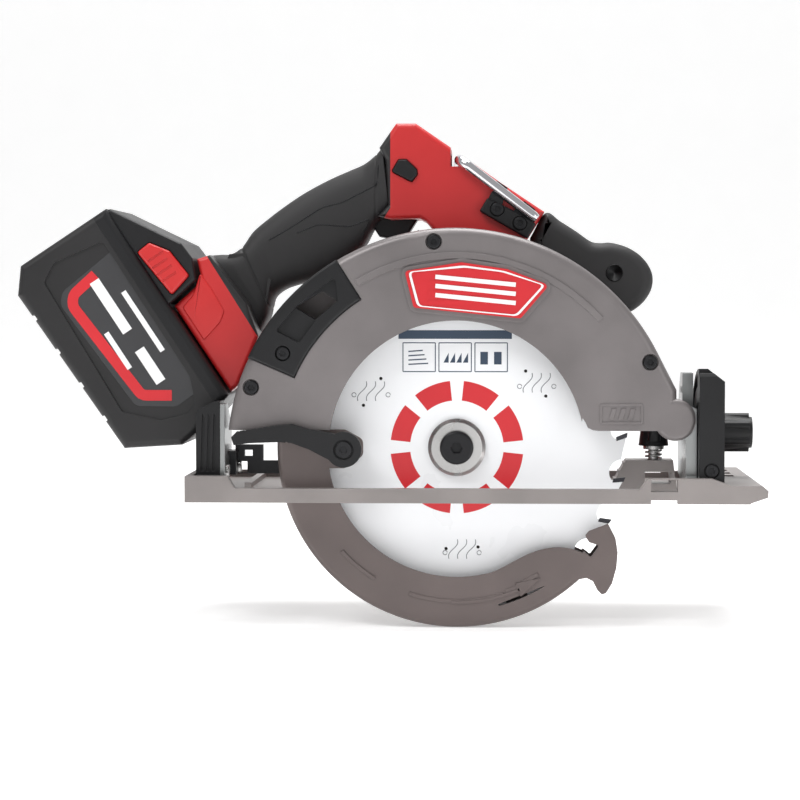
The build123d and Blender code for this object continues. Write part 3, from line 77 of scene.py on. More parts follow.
def grid_faces(rows, columns, wrap_columns, flip=False, start=0):
    """Quads of a grid of rows by columns, whose columns may join round."""
    last = columns if wrap_columns else columns - 1
    row, column = np.meshgrid(np.arange(rows - 1), np.arange(last), indexing="ij")
    a = row * columns + column
    b = row * columns + (column + 1) % columns
    quads = np.stack([a, b, b + columns, a + columns], axis=-1).reshape(-1, 4) + start
    if flip:
        quads = quads[:, ::-1]
    return quads.tolist()


def tube_piece(name, sections, flip=False):
    """Closed skin through a stack of rings, points[ring, place], with a flat end on the first and last."""
    rings, places = sections.shape[:2]
    faces = grid_faces(rings, places, True, flip)
    first = list(range(places))
    last = list(range((rings - 1) * places, rings * places))
    if flip:
        faces += [first, last[::-1]]
    else:
        faces += [first[::-1], last]
    return put_mesh(name, sections.reshape(-1, 3), faces)


def plate_piece(name, outlines, near, far):
    """Flat prisms: each outline of X and Z, carried from near to far across the saw."""
    points = []
    faces = []
    for ring in outlines:
        ring = np.asarray(ring, dtype=float)
        area = np.sum(ring[:, 0] * np.roll(ring[:, 1], -1) - np.roll(ring[:, 0], -1) * ring[:, 1])
        if area < 0:
            ring = ring[::-1]
        count = len(ring)
        start = sum(len(part) for part in points)
        front = np.column_stack([ring[:, 0], np.full(count, near), ring[:, 1]])
        back = np.column_stack([ring[:, 0], np.full(count, far), ring[:, 1]])
        points += [front, back]
        faces.append([start + i for i in range(count)])
        faces.append([start + count + i for i in reversed(range(count))])
        side = np.arange(count)
        following = (side + 1) % count
        walls = np.stack([side, side + count, following + count, following], axis=1) + start
        faces += walls.tolist()
    return put_mesh(name, np.concatenate(points), faces, smooth=False)


def through(points, count):
    """Smooth line of count points through the given ones: Catmull-Rom cubic in each span."""
    knots = np.asarray(points, dtype=float)
    padded = np.vstack([2 * knots[0] - knots[1], knots, 2 * knots[-1] - knots[-2]])
    place = np.linspace(0, len(knots) - 1, count)
    span = np.minimum(place.astype(int), len(knots) - 2)
    t = (place - span)[:, None]
    p0, p1, p2, p3 = (padded[span + step] for step in range(4))
    return 0.5 * (2 * p1 + (p2 - p0) * t + (2 * p0 - 5 * p1 + 4 * p2 - p3) * t**2
                  + (3 * p1 - p0 - 3 * p2 + p3) * t**3)


def stroke(line, width):
    """Outline of a line drawn with a pen of the given width: both sides offset by half of it."""
    line = np.asarray(line, dtype=float)
    along = np.gradient(line, axis=0)
    along /= np.linalg.norm(along, axis=1)[:, None]
    across = np.column_stack([-along[:, 1], along[:, 0]]) * width / 2
    return np.vstack([line + across, (line - across)[::-1]])


def arc_line(radius, start, end, count=24):
    """Points on a circle about the spindle from start to end in degrees."""
    angle = np.radians(np.linspace(start, end, count))
    return ARBOR + radius * np.column_stack([np.cos(angle), np.sin(angle)])


def upright_bar(x, z, width, height):
    """Rectangle standing on (x, z)."""
    return np.array([(x, z), (x + width, z), (x + width, z + height), (x, z + height)], dtype=float)


def pack_point(points):
    """Places in the battery's own plane (along its slope, away from its back) turned into X and Z."""
    along = np.array([math.cos(PACK_SLOPE), -math.sin(PACK_SLOPE)])
    up = np.array([math.sin(PACK_SLOPE), math.cos(PACK_SLOPE)])
    points = np.asarray(points, dtype=float)
    return PACK_MIDDLE + points[:, :1] * along + points[:, 1:] * up


def rounded(points, radius):
    """Outline with each corner replaced by a quadratic curve that starts radius before it."""
    points = np.asarray(points, dtype=float)
    before = np.roll(points, 1, axis=0) - points
    after = np.roll(points, -1, axis=0) - points
    before_length = np.linalg.norm(before, axis=1)[:, None]
    after_length = np.linalg.norm(after, axis=1)[:, None]
    enter = points + before / before_length * np.minimum(radius, before_length * 0.45)
    leave = points + after / after_length * np.minimum(radius, after_length * 0.45)
    t = np.linspace(0, 1, BEND_STEPS)[None, :, None]
    curve = (1 - t)**2 * enter[:, None] + 2 * t * (1 - t) * points[:, None] + t**2 * leave[:, None]
    return curve.reshape(-1, 2)


# ---------------------------------------------------------------- finishes
PATCH_SCALE = 22.0            # slow colour patches, about 45 mm across
GRAIN_DEPTH = 0.12 * MM       # height of the grain
RUBBED_GAIN = 1.9             # how much lighter a rubbed edge is


def linear(red, green, blue):
    """Screen colour, 0 to 255, as linear light."""
    value = np.array([red, green, blue]) / 255
    low = value / 12.92
    high = ((value + 0.055) / 1.055)**2.4
    return tuple(np.where(value <= 0.04045, low, high)) + (1.0,)


def scaled(colour, amount):
    """Colour made lighter or darker."""
    return tuple(min(1.0, part * amount) for part in colour[:3]) + (1.0,)


def make_finish(name, colour, roughness, metal=0.0, grain=900.0, relief=0.15, spread=0.14, edge=0.0006,
                wear=0.25, stretch=(1, 1, 1), rough_spread=0.10, shine=0.5):
    """Moulded or coated surface: slow colour patches, fine grain in relief, rounded and slightly worn edges.

    Spread is how far the patches' colour strays, relief and grain are the height and fineness of the grain,
    edge is the radius that edges seem to have, and wear is how much lighter they are rubbed.
    """
    material = bpy.data.materials.new(name)
    material.use_nodes = True
    tree = material.node_tree
    nodes, links = tree.nodes, tree.links
    shader = nodes["Principled BSDF"]
    place = nodes.new("ShaderNodeTexCoord")
    mapping = nodes.new("ShaderNodeMapping")
    mapping.inputs["Scale"].default_value = stretch
    links.new(place.outputs["Object"], mapping.inputs["Vector"])

    patches = nodes.new("ShaderNodeTexNoise")
    patches.inputs["Scale"].default_value = PATCH_SCALE
    patches.inputs["Detail"].default_value = 4
    links.new(mapping.outputs["Vector"], patches.inputs["Vector"])
    tones = nodes.new("ShaderNodeValToRGB")
    tones.color_ramp.elements[0].position = 0.3
    tones.color_ramp.elements[0].color = scaled(colour, 1 - spread)
    tones.color_ramp.elements[1].position = 0.7
    tones.color_ramp.elements[1].color = scaled(colour, 1 + spread)
    links.new(patches.outputs["Fac"], tones.inputs["Fac"])

    fine = nodes.new("ShaderNodeTexNoise")
    fine.inputs["Scale"].default_value = grain
    fine.inputs["Detail"].default_value = 3
    links.new(mapping.outputs["Vector"], fine.inputs["Vector"])

    bevel = nodes.new("ShaderNodeBevel")
    bevel.samples = 4
    bevel.inputs["Radius"].default_value = edge
    bump = nodes.new("ShaderNodeBump")
    bump.inputs["Strength"].default_value = relief
    bump.inputs["Distance"].default_value = GRAIN_DEPTH
    links.new(fine.outputs["Fac"], bump.inputs["Height"])
    links.new(bevel.outputs["Normal"], bump.inputs["Normal"])
    links.new(bump.outputs["Normal"], shader.inputs["Normal"])

    geometry = nodes.new("ShaderNodeNewGeometry")
    facing = nodes.new("ShaderNodeVectorMath")
    facing.operation = "DOT_PRODUCT"
    links.new(bevel.outputs["Normal"], facing.inputs[0])
    links.new(geometry.outputs["Normal"], facing.inputs[1])
    rubbed = nodes.new("ShaderNodeMapRange")
    rubbed.inputs["From Min"].default_value = 0.995
    rubbed.inputs["From Max"].default_value = 0.80
    rubbed.inputs["To Min"].default_value = 0.0
    rubbed.inputs["To Max"].default_value = wear
    links.new(facing.outputs["Value"], rubbed.inputs["Value"])
    worn = nodes.new("ShaderNodeMix")
    worn.data_type = "RGBA"
    worn.inputs["B"].default_value = scaled(colour, RUBBED_GAIN)
    links.new(rubbed.outputs["Result"], worn.inputs["Factor"])
    links.new(tones.outputs["Color"], worn.inputs["A"])
    links.new(worn.outputs["Result"], shader.inputs["Base Color"])

    dull = nodes.new("ShaderNodeMapRange")
    dull.inputs["To Min"].default_value = max(0.03, roughness - rough_spread)
    dull.inputs["To Max"].default_value = min(1.0, roughness + rough_spread)
    links.new(patches.outputs["Fac"], dull.inputs["Value"])
    links.new(dull.outputs["Result"], shader.inputs["Roughness"])
    shader.inputs["Metallic"].default_value = metal
    shader.inputs["Specular IOR Level"].default_value = shine
    return material


guard_paint = make_finish("guard_paint", linear(119, 114, 114), 0.38, metal=0.35, grain=1300, relief=0.22,
                          wear=0.16)
lower_paint = make_finish("lower_guard_paint", linear(104, 94, 92), 0.38, metal=0.35, grain=1300,
                          relief=0.22, wear=0.20)
shoe_paint = make_finish("shoe_paint", linear(140, 134, 132), 0.42, metal=0.35, grain=1500, relief=0.20,
                         wear=0.30)
black_plastic = make_finish("black_plastic", linear(20, 20, 22), 0.42, shine=0.36, grain=1800,
                            relief=0.28, wear=0.20)
pack_plastic = make_finish("pack_plastic", linear(32, 31, 32), 0.46, shine=0.42, grain=2200, relief=0.30,
                           wear=0.22)
red_plastic = make_finish("red_plastic", linear(196, 40, 40), 0.34, grain=1700, relief=0.16, spread=0.06,
                          wear=0.22)
grip_rubber = make_finish("grip_rubber_finish", linear(34, 33, 34), 0.62, grain=2600, relief=0.45,
                          wear=0.10)
zinc = make_finish("zinc_plate", linear(158, 160, 160), 0.30, metal=0.9, grain=900, relief=0.10,
                   stretch=(1, 8, 1))
steel = make_finish("turned_steel", linear(188, 187, 186), 0.27, metal=1.0, grain=1400, relief=0.10,
                    wear=0.2)
black_oxide = make_finish("black_oxide", linear(38, 38, 40), 0.34, metal=0.6, grain=1500, relief=0.15,
                          wear=0.35)
chrome = make_finish("chrome_plate", linear(226, 226, 230), 0.10, metal=1.0, grain=700, relief=0.03,
                     spread=0.03, rough_spread=0.05, wear=0.0)
blade_coat = make_finish("blade_coat", linear(240, 241, 243), 0.30, grain=1100, relief=0.06, spread=0.02,
                         wear=0.0, edge=0.0003)
carbide = make_finish("ground_carbide", linear(70, 70, 74), 0.35, metal=0.8, grain=2500, relief=0.10)
cast_aluminium = make_finish("cast_aluminium", linear(168, 168, 170), 0.42, metal=0.85, grain=1100,
                             relief=0.25)
winding = make_finish("copper_winding", linear(176, 104, 60), 0.35, metal=0.8, grain=500, relief=0.5,
                      stretch=(1, 6, 1))
cell_wrap = make_finish("cell_wrap", linear(40, 92, 120), 0.35, grain=300, relief=0.05)
print_red = make_finish("printed_red", linear(202, 36, 44), 0.34, grain=1800, relief=0.05, spread=0.05,
                        wear=0.0, edge=0.00005)
print_dark = make_finish("printed_slate", linear(52, 68, 88), 0.36, grain=1800, relief=0.05, spread=0.05,
                         wear=0.0, edge=0.00005)
print_grey = make_finish("etched_line", linear(120, 122, 126), 0.45, grain=1800, relief=0.05, spread=0.05,
                         wear=0.0, edge=0.00005)
print_white = make_finish("printed_white", linear(236, 236, 236), 0.34, grain=1800, relief=0.05,
                          spread=0.03, wear=0.0, edge=0.00005)
label_grey = make_finish("label_grey", linear(52, 52, 54), 0.40, grain=1600, relief=0.08, spread=0.05,
                         wear=0.0)


def add_dark_part(material, lines, dark):
    """Mould the material in a dark colour on the left of every line, each given as two points of X and Z."""
    nodes, links = material.node_tree.nodes, material.node_tree.links
    shader = nodes["Principled BSDF"]
    painted = shader.inputs["Base Color"].links[0].from_socket
    place = nodes.new("ShaderNodeTexCoord")
    inside = None
    for (x0, z0), (x1, z1) in lines:
        length = math.hypot(x1 - x0, z1 - z0)
        across = nodes.new("ShaderNodeVectorMath")
        across.operation = "DOT_PRODUCT"
        across.inputs[1].default_value = ((z0 - z1) / length, 0, (x1 - x0) / length)
        links.new(place.outputs["Object"], across.inputs[0])
        side = nodes.new("ShaderNodeMath")
        side.operation = "GREATER_THAN"
        side.inputs[1].default_value = (x0 * (z0 - z1) + z0 * (x1 - x0)) / length * MM
        links.new(across.outputs["Value"], side.inputs[0])
        if inside is None:
            inside = side.outputs["Value"]
        else:
            both = nodes.new("ShaderNodeMath")
            both.operation = "MULTIPLY"
            links.new(inside, both.inputs[0])
            links.new(side.outputs["Value"], both.inputs[1])
            inside = both.outputs["Value"]
    choose = nodes.new("ShaderNodeMix")
    choose.data_type = "RGBA"
    choose.inputs["B"].default_value = dark
    links.new(inside, choose.inputs["Factor"])
    links.new(painted, choose.inputs["A"])
    links.new(choose.outputs["Result"], shader.inputs["Base Color"])


shell_plastic = make_finish("shell_plastic", linear(190, 38, 39), 0.36, grain=1700, relief=0.16,
                            spread=0.06, wear=0.12)
add_dark_part(shell_plastic, [((-144, 139.5), (-109, 84)), ((-52.7, 141.5), (-38.6, 163.0)),
                              ((-38.6, 150), (-38.6, 220))], linear(34, 33, 34))

FINISHED_NODES = (
    (shoe_paint, "shoe_plate"),
    (steel, "bevel_pins fence_spring fence_screw depth_pin frame_screws bevel_bolt guard_bolts "
            "spindle_bearings motor_bearings depth_bolt spindle inner_flange outer_flange spindle_gear "
            "motor_shaft rotor_core"),
    (black_plastic, "front_quadrant fence_knob rear_tilt_bracket bevel_knob dust_chute motor_end_cap "
                    "switch_module terminal_block hook_clamp guard_lever cooling_fan spindle_lock_button "
                    "trigger lock_off_button depth_lever battery_lid"),
    (black_oxide, "quadrant_screws depth_arm cover_screws handle_screws lever_screw blade_bolt"),
    (zinc, "front_tilt_bracket rear_tilt_plate"),
    (guard_paint, "guard_cover guard_back"),
    (print_red, "badge_plate"),
    (cast_aluminium, "gear_case bearing_plate"),
    (red_plastic, "motor_housing battery_latch_near battery_latch_far"),
    (winding, "stator"),
    (shell_plastic, "handle_shell_near handle_shell_far"),
    (grip_rubber, "grip_rubber front_grip"),
    (lower_paint, "lower_guard"),
    (blade_coat, "saw_blade"),
    (carbide, "carbide_tips"),
    (chrome, "hook"),
    (pack_plastic, "battery_case"),
    (cell_wrap, "battery_cells"),
)


def dress(piece, finish):
    """Give a piece its finish."""
    piece.data.materials.clear()
    piece.data.materials.append(finish)


def settle(piece, finish, body, slot, *replaced):
    """Dress a new piece, ride it on its body, and say the nodes it stands for, which it hides; the slot
    argument is not used.
    """
    dress(piece, finish)
    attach(piece, body)
    if replaced:
        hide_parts(*replaced)


for node_finish, node_names in FINISHED_NODES:
    for node in node_names.split():
        dress(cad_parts[node], node_finish)


# ---------------------------------------------------------------- rear grip
GRIP_RINGS = 150
RING_POINTS = 72
SEAM_RADIUS = 0.32            # of the fine cords that stand for the sleeve's moulded lines
SEAM_STEPS = 70
SEAM_SIDES = 8


def ring_between(top, bottom, half_width, fullness):
    """Super-ellipse rings: each spans top to bottom in the side view and half_width each side of it."""
    angle = np.linspace(0, 2 * np.pi, RING_POINTS, endpoint=False)[None, :]
    power = 2 / fullness[:, None]
    lift = np.sign(np.cos(angle)) * np.abs(np.cos(angle))**power
    side = np.sign(np.sin(angle)) * np.abs(np.sin(angle))**power
    middle = (top + bottom) / 2
    arm = (top - bottom) / 2
    x = middle[:, :1] + arm[:, :1] * lift
    z = middle[:, 1:] + arm[:, 1:] * lift
    y = half_width[:, None] * side
    return np.stack([x, y, z], axis=-1)


def make_grip():
    """Soft sleeve from the battery foot up to the red body, as rings between its back and its belly.

    Each ring is a super-ellipse. Two shallow seams run round it, where the rings shrink by a bell curve.
    """
    back = through([(-143.5, 136.3), (-137, 136.8), (-130.5, 137.3), (-124.3, 141.6), (-118.3, 150.2),
                    (-109.2, 157.9), (-100, 164.8), (-90.8, 171.0), (-81.7, 176.2), (-72.5, 180.8),
                    (-63.3, 184.8), (-54.2, 188.8), (-47.5, 194), (-43.5, 198.4)], GRIP_RINGS)
    belly = through([(-114.8, 88.6), (-111.4, 95.6), (-108.8, 101.6), (-107.6, 106.0), (-105.4, 112.4),
                     (-99.5, 117.0), (-91.5, 119.8), (-83, 122.0), (-74, 125.8), (-66, 130.9),
                     (-59, 136.6), (-53.2, 142.6), (-47.8, 152.6), (-39.4, 162.2)], GRIP_RINGS)
    place = np.linspace(0, 1, GRIP_RINGS)
    width = np.interp(place, [0, 0.13, 0.22, 0.34, 0.6, 0.85, 1], [18.8, 18.6, 17.4, 16.2, 16.4, 17.4, 18.6])
    fullness = np.interp(place, [0, 0.15, 0.3, 0.85, 1], [5.5, 5.0, 3.1, 3.3, 4.5])
    seam = np.exp(-((place - 0.225) / 0.006)**2) + 0.8 * np.exp(-((place - 0.93) / 0.005)**2)
    middle = (back + belly) / 2
    back = middle + (back - middle) * (1 - 0.03 * seam[:, None])
    belly = middle + (belly - middle) * (1 - 0.03 * seam[:, None])
    return ring_between(back, belly, width * (1 - 0.05 * seam), fullness)


def make_grip_seams(rings):
    """Fine moulded lines on both sides of the sleeve, as thin round cords half sunk in its skin.

    Each point of a line takes its place across the saw from the four nearest points of the skin, weighted by
    one over their distance.
    """
    skin = rings.reshape(-1, 3)
    lines = [[(-108, 145), (-96, 152), (-78, 163.5), (-66, 166.5), (-46, 176.5), (-45.5, 188)],
             [(-92, 149), (-80, 154), (-62, 152.5), (-50, 157), (-55, 147)]]
    angle = np.linspace(0, 2 * np.pi, SEAM_SIDES, endpoint=False)[None, :, None]
    far_off = 1e3
    points, faces = [], []
    for line in lines:
        course = spaced_open(rounded_line(line), SEAM_STEPS)
        for side in (-1, 1):
            gap = np.linalg.norm(skin[None, :, [0, 2]] - course[:, None, :], axis=2)
            gap = np.where(skin[None, :, 1] * side > 0, gap, far_off)
            near = np.argsort(gap, axis=1)[:, :4]
            weight = 1 / (np.take_along_axis(gap, near, axis=1) + 0.05)
            y = np.sum(skin[near, 1] * weight, axis=1) / np.sum(weight, axis=1)
            path = np.column_stack([course[:, 0], y, course[:, 1]])
            forward = np.gradient(path, axis=0)
            forward /= np.linalg.norm(forward, axis=1)[:, None]
            across = np.cross(forward, [0, 1, 0])
            across /= np.linalg.norm(across, axis=1)[:, None]
            up = np.cross(across, forward)
            round_it = np.cos(angle) * across[:, None] + np.sin(angle) * up[:, None]
            cord = path[:, None] + SEAM_RADIUS * round_it
            start = sum(len(part) for part in points)
            points.append(cord.reshape(-1, 3))
            faces += grid_faces(SEAM_STEPS, SEAM_SIDES, True, False, start)
            faces.append([start + i for i in reversed(range(SEAM_SIDES))])
            faces.append([start + (SEAM_STEPS - 1) * SEAM_SIDES + i for i in range(SEAM_SIDES)])
    return put_mesh("grip_seams", np.concatenate(points), faces)


def rounded_line(points):
    """Line through the points with short quadratic bends at its corners."""
    points = np.asarray(points, dtype=float)
    pieces = [points[:1]]
    t = np.linspace(0, 1, BEND_STEPS)[:, None]
    for before, corner, after in zip(points[:-2], points[1:-1], points[2:]):
        enter = corner + (before - corner) * min(0.4, CORNER_RUN / np.linalg.norm(before - corner))
        leave = corner + (after - corner) * min(0.4, CORNER_RUN / np.linalg.norm(after - corner))
        pieces.append((1 - t)**2 * enter + 2 * t * (1 - t) * corner + t**2 * leave)
    pieces.append(points[-1:])
    return np.vstack(pieces)


def spaced_open(line, count):
    """Line drawn again with count evenly spaced points."""
    run = np.concatenate([[0], np.cumsum(np.linalg.norm(np.diff(line, axis=0), axis=1))])
    place = np.linspace(0, run[-1], count)
    return np.column_stack([np.interp(place, run, line[:, 0]), np.interp(place, run, line[:, 1])])


grip_rings = make_grip()
settle(tube_piece("grip_sleeve", grip_rings), grip_rubber, "head", "rubber", "grip_rubber")
settle(make_grip_seams(grip_rings), black_oxide, "head", "rubber")


# ---------------------------------------------------------------- front grip
def cushion(name, outline, middle_y, half, edge, rings=12):
    """Cushion-shaped block: the outline shrinks along a quarter circle of the edge's size towards each side.

    At the turn t, from 0 to a right angle, the outline moves inwards by edge * (1 - cos t) and its place
    across the saw moves out by edge * sin t. Both sides end in a flat face.
    """
    outline = np.asarray(outline, dtype=float)
    forward = np.roll(outline, -1, axis=0) - np.roll(outline, 1, axis=0)
    forward /= np.linalg.norm(forward, axis=1)[:, None]
    area = np.sum(outline[:, 0] * np.roll(outline[:, 1], -1) - np.roll(outline[:, 0], -1) * outline[:, 1])
    inward = np.column_stack([-forward[:, 1], forward[:, 0]]) * np.sign(area)
    turn = np.linspace(0, np.pi / 2, rings)
    inset = edge * (1 - np.cos(turn))
    out = (half - edge) + edge * np.sin(turn)
    near = [np.column_stack([xz[:, 0], np.full(len(xz), middle_y - y), xz[:, 1]])
            for xz, y in ((outline + inward * i, y) for i, y in zip(inset, out))]
    near = np.array(near)
    far = near * [1, -1, 1] + [0, 2 * middle_y, 0]
    return tube_piece(name, np.concatenate([near[::-1], far]), flip=area > 0)


def spaced(outline, count):
    """Closed outline drawn again with count evenly spaced points."""
    outline = np.asarray(outline, dtype=float)
    closed = np.vstack([outline, outline[:1]])
    run = np.concatenate([[0], np.cumsum(np.linalg.norm(np.diff(closed, axis=0), axis=1))])
    place = np.linspace(0, run[-1], count, endpoint=False)
    return np.column_stack([np.interp(place, run, closed[:, 0]), np.interp(place, run, closed[:, 1])])


def make_front_grip():
    """Soft front handle: a cushion-shaped block with a rounded knob at its end."""
    count = 190
    half_width = 18.0
    edge = 6.5
    shape = through([(41, 146.5), (49.5, 160.3), (58, 155.6), (67.1, 149.8), (75.2, 144.2), (80.5, 143.2),
                     (86.6, 143.4), (94.5, 141.4), (100.4, 138.4), (104.8, 134.8), (108.6, 129.8),
                     (110.6, 124), (110.0, 117.4), (107, 111.6), (102.6, 107), (96.6, 103.4), (88, 101.8),
                     (79, 104), (71.5, 110.2), (64.6, 118.2), (56, 123.6), (45, 126.2), (41, 136),
                     (41, 146.5)], count)[:-1]
    return cushion("front_grip_skin", spaced(shape, count), 0.0, half_width, edge)


settle(make_front_grip(), grip_rubber, "head", "rubber", "front_grip")


def make_grip_socket():
    """Dark dished socket in the near side of the front handle's knob: circles that narrow to its middle."""
    centre_x, centre_z = 88.6, 126.1
    ring = np.linspace(0, 2 * np.pi, 40, endpoint=False)
    sections = []
    for radius, y in ((4.9, -18.25), (4.6, -18.3), (4.2, -18.0), (0.2, -17.95)):
        across = centre_x + radius * np.cos(ring)
        up = centre_z + radius * np.sin(ring)
        sections.append(np.column_stack([across, np.full(40, y), up]))
    return tube_piece("grip_socket", np.array(sections)[::-1], flip=True)


settle(make_grip_socket(), black_plastic, "head", "rubber")


# ---------------------------------------------------------------- hanging hook
def make_hook_rod():
    """Bent chrome rod: a round section carried along a straight leg, a quarter circle and a cross bar.

    The section's radius swells by a sine over the last few millimetres, for the rounded tail.
    """
    leg_y = -24.5
    cross_length = 41.5
    bend_radius = 7
    rod_radius, tail_radius = 3.0, 4.3
    tail_start, tail_run = 19.6, 4.4
    start = np.array([44.5, leg_y, 156.6])
    bend = np.array([0.7, leg_y, 190.2])
    along = (bend - start) / np.linalg.norm(bend - start)
    outward = np.array([0, 1, 0])
    t = np.linspace(0, 1, 24)[:, None]
    turn = np.linspace(0, np.pi / 2, 26)[:, None]
    straight_end = bend - bend_radius * along
    leg = start + (straight_end - start) * t
    arc = straight_end + bend_radius * along * np.sin(turn) + bend_radius * outward * (1 - np.cos(turn))
    cross = bend + bend_radius * outward + outward * cross_length * t
    path = np.vstack([leg[:-1], arc[:-1], cross])
    forward = np.gradient(path, axis=0)
    forward /= np.linalg.norm(forward, axis=1)[:, None]
    across = np.array([along[2], 0, -along[0]])[None, :] * np.ones((len(path), 1))
    up = np.cross(forward, across)
    angle = np.linspace(0, 2 * np.pi, 32, endpoint=False)[None, :, None]
    tail = np.clip((path[:, 1] - tail_start) / tail_run, 0, 1)
    swelling = (tail_radius - rod_radius) * np.sin(np.pi * 0.5 * np.minimum(1, tail * 2))
    radius = rod_radius + np.where(path[:, 1] > tail_start, swelling, 0)
    radius[0] = 2.5
    radius[-1] = 2.2
    ring = np.cos(angle) * across[:, None] + np.sin(angle) * up[:, None]
    return tube_piece("hook_rod", path[:, None, :] + radius[:, None, None] * ring)


settle(make_hook_rod(), chrome, "hook", "chrome", "hook")


# ---------------------------------------------------------------- raised marks
def make_guard_arrow():
    """Raised curved arrow on the lower guard: an arc band that ends in a broad point."""
    middle, reach = 85.5, 4.1
    near, far = -63.4, -62.3
    tail = stroke(arc_line(middle, -92, -66, 30), 1.6)
    head = np.vstack([arc_line(middle + reach, -66.5, -66.5, 1), arc_line(middle, -57, -57, 1),
                      arc_line(middle - reach, -66.5, -66.5, 1)])
    bar = stroke(arc_line(middle, -138, -122, 10), 2.0)
    return plate_piece("guard_arrow", [tail, head, bar], near, far)


settle(make_guard_arrow(), lower_paint, "lower_guard", "guard_casting")


def make_foot_panel(side):
    """Raised step in the side of the battery foot."""
    edge = spaced(rounded([(-145.3, 126.0), (-138.6, 117.2), (-131.4, 104.6), (-133.4, 98.6), (-143.2, 87.6),
                           (-155.6, 106.6), (-149.6, 113.4)], 1.6), 90)
    return cushion("foot_panel_near" if side < 0 else "foot_panel_far", edge, side * 35.2, 1.6, 1.2)


settle(make_foot_panel(-1), red_plastic, "head", "red_plastic")
settle(make_foot_panel(1), red_plastic, "head", "red_plastic")


# ---------------------------------------------------------------- print on the blade
PRINT_NEAR = BLADE_FACE - SKIN / 2
PRINT_FAR = BLADE_FACE + SUNK


def make_blade_ring():
    """Plain printed ring round the flange: eight equal arcs, each between an inner and an outer circle."""
    inner_radius, outer_radius = 26, 37
    arcs = []
    for start in range(0, 360, 45):
        inner = arc_line(inner_radius, start + 6, start + 39)
        outer = arc_line(outer_radius, start + 6, start + 39)
        arcs.append(np.vstack([inner, outer[::-1]]))
    return plate_piece("blade_ring", arcs, PRINT_NEAR, PRINT_FAR)


def make_blade_band():
    """Dark band near the rim, with three framed boxes of plain lines below it."""
    band = [(-32.5, 89.2), (30.5, 89.2), (30.5, 94), (-32.5, 94)]
    rows = [band]
    for left in (-30, -10, 10):
        box = np.array([(left, 71), (left + 18, 71), (left + 18, 87), (left, 87)])
        for corner in range(4):
            rows.append(stroke(np.array([box[corner], box[(corner + 1) % 4]]), 0.55))
    for line in range(4):
        rows.append(stroke([(-27, 75 + 2.4 * line), (-16 - line, 75.6 + 2.4 * line)], 0.7))
    for tooth in range(4):
        rows.append([(-7.5 + 3.6 * tooth, 76), (-4.6 + 3.6 * tooth, 76), (-4.6 + 3.6 * tooth, 81.5)])
    rows += [upright_bar(13, 75, 4.2, 7), upright_bar(20.6, 75, 4.2, 7)]
    return plate_piece("blade_band", rows, PRINT_NEAR, PRINT_FAR)


def make_expansion_slots():
    """Laser-cut relief lines: groups of parallel S curves with a small ring at the ends."""
    rows = []
    place = np.linspace(-1, 1, 18)
    for angle in (147, 39, 273):
        middle = ARBOR + 57 * np.array([math.cos(math.radians(angle)), math.sin(math.radians(angle))])
        for line in range(3):
            bend = np.column_stack([place * 2.2 + 1.2 * np.sin(place * 3.0), place * 5.4])
            rows.append(stroke(middle + bend + [5.0 * line - 5.0, 0], 0.45))
        for x in (-9.5, 9.5):
            ring = np.linspace(0, 2 * np.pi, 18)
            circle = middle + [x, -2.0] + 1.2 * np.column_stack([np.cos(ring), np.sin(ring)])
            rows.append(stroke(circle[:-1], 0.4))
    return plate_piece("blade_slots", rows, PRINT_NEAR, PRINT_FAR)


settle(make_blade_ring(), print_red, "spindle", "blade_coating")
settle(make_blade_band(), print_dark, "spindle", "blade_coating")
settle(make_expansion_slots(), print_grey, "spindle", "blade_coating")


# ---------------------------------------------------------------- badge
BADGE = np.array([(-28.4, 126.6), (-23.4, 106.6), (35.2, 100.7), (50.7, 118.9), (28, 127.6), (2.8, 131.4)])
BADGE_FACE = -70.0


def shrunk(points, amount):
    """Outline drawn in towards its middle by about the amount."""
    points = np.asarray(points, dtype=float)
    middle = points.mean(axis=0)
    away = points - middle
    length = np.linalg.norm(away, axis=1)[:, None]
    return middle + away * (1 - amount / length)


def make_badge_line():
    """Light border set a little inside the badge's edge, round three plain lines of equal length."""
    outer = rounded(shrunk(BADGE, 2.0), 2.5)
    inner = rounded(shrunk(BADGE, 3.4), 2.2)
    ring = np.vstack([outer, outer[:1], inner[:1], inner[::-1]])
    lines = [stroke([(-11.5, 113.5 + rise), (32.5, 109.1 + rise)], 2.4) for rise in (0, 5, 10)]
    return plate_piece("badge_lines", [ring] + lines, BADGE_FACE - 0.55, BADGE_FACE + 0.05)


settle(make_badge_line(), print_white, "head", "badge")


# ---------------------------------------------------------------- battery label
LABEL_FACE = -43.8


def make_label_field():
    """Dark field of the battery's label."""
    field = rounded([(-193.5, 139), (-222.5, 115.2), (-223.3, 107.7), (-181, 51.2), (-157.6, 50.8),
                     (-142.6, 62), (-142.5, 66)], 3)
    return plate_piece("battery_label_field", [field], LABEL_FACE - SKIN, LABEL_FACE + 0.1)


def make_label_band():
    """Red band of one width with square ends, along two sides of the label."""
    course = [(-203.5, 125.0), (-216.0, 113.6), (-216.5, 107.4), (-177.5, 57.2), (-160.5, 57.2)]
    band = stroke(spaced_open(rounded_line(course), 60), 6.0)
    return plate_piece("battery_label_band", [band], LABEL_FACE - 2 * SKIN, LABEL_FACE - 0.05)


def make_label_bars():
    """Four plain white bars where a label's print goes."""
    bars = ((-34, -31, 34, 6), (12, -31, 22, 6), (-20, -19, 40, 3), (-6, -40, 24, 3))
    rows = [pack_point(upright_bar(*bar)) for bar in bars]
    return plate_piece("battery_label_bars", rows, LABEL_FACE - 3 * SKIN, LABEL_FACE - 0.05)


settle(make_label_field(), label_grey, "battery", "black_plastic")
settle(make_label_band(), print_red, "battery", "black_plastic")
settle(make_label_bars(), print_white, "battery", "black_plastic")


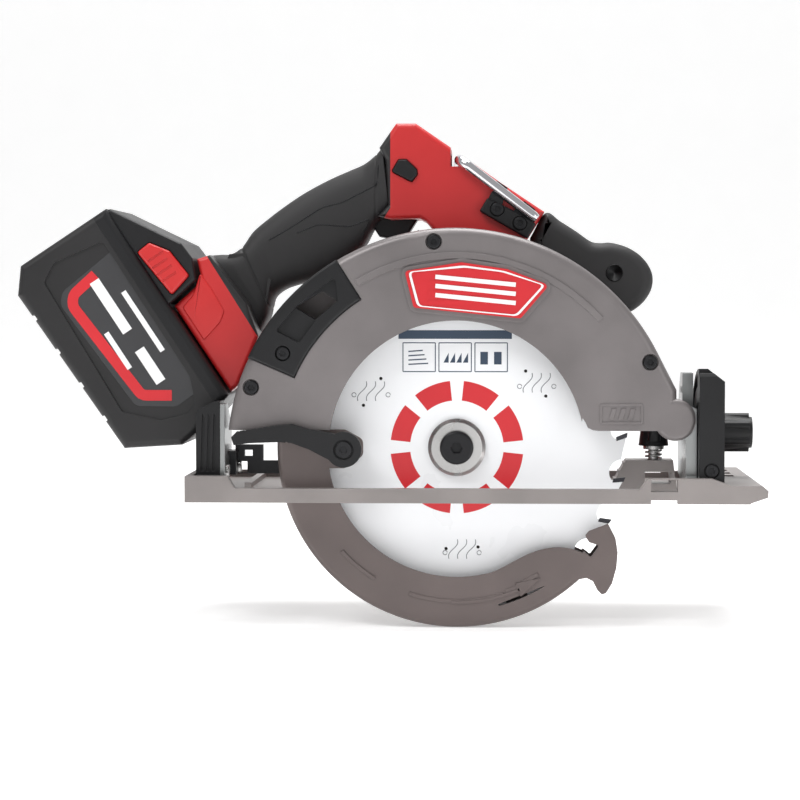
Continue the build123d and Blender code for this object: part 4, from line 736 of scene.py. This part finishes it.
# ---------------------------------------------------------------- stage, light and camera
def make_stage():
    """Pale floor that curves up into a backdrop: flat, then a quarter circle, then upright."""
    bend, depth, floor = 1.2, 2.4, cad_box[0][2] - 0.0002
    angle = np.linspace(0, np.pi / 2, 24)
    y = np.concatenate([[-4.0], depth + bend * np.sin(angle), [depth + bend]])
    z = np.concatenate([[0.0], bend * (1 - np.cos(angle)), [6.0]]) + floor
    x = np.array([-6.0, 6.0])
    grid = np.stack(np.broadcast_arrays(x[None, :], y[:, None], z[:, None]), axis=-1)
    stage = put_mesh("studio_floor", grid.reshape(-1, 3) / MM, grid_faces(len(y), 2, False))
    paper = make_finish("studio_paper", linear(246, 246, 246), 0.9, grain=60, relief=0.02, spread=0.01,
                        wear=0.0)
    shader = paper.node_tree.nodes["Principled BSDF"]
    shader.inputs["Emission Color"].default_value = (1.0, 1.0, 1.0, 1.0)
    shader.inputs["Emission Strength"].default_value = 0.35
    dress(stage, paper)


def add_area(name, place, target, size, power):
    """Soft round lamp at a place, facing a target."""
    lamp = bpy.data.lights.new(name, "AREA")
    lamp.shape = "DISK"
    lamp.size = size
    lamp.energy = power
    holder = bpy.data.objects.new(name, lamp)
    holder.location = place
    holder.rotation_euler = (Vector(target) - Vector(place)).to_track_quat("-Z", "Y").to_euler()
    bpy.context.scene.collection.objects.link(holder)


make_stage()
middle = (0.0, -0.03, 0.08)
add_area("key_light", (-0.8, -1.1, 1.6), middle, 1.0, 17)
add_area("fill_light", (1.5, -1.6, 0.5), middle, 1.2, 6)
add_area("top_light", (0.1, 0.25, 1.6), middle, 1.2, 26)
world = bpy.data.worlds.new("studio")
bpy.context.scene.world = world
world.use_nodes = True
world.node_tree.nodes["Background"].inputs["Color"].default_value = (1.0, 1.0, 1.0, 1.0)
world.node_tree.nodes["Background"].inputs["Strength"].default_value = 0.42
bpy.context.scene.view_settings.view_transform = "Standard"

view = bpy.data.cameras.new("side_view")
view.lens = 108.5
view.sensor_width = 36.0
view.clip_end = 50
camera = bpy.data.objects.new("side_view", view)
camera.location = (0.0272, -1.392, 0.1107)
camera.rotation_euler = Vector((-106, 2412, -100)).to_track_quat("-Z", "Y").to_euler()
bpy.context.scene.collection.objects.link(camera)
bpy.context.scene.camera = camera
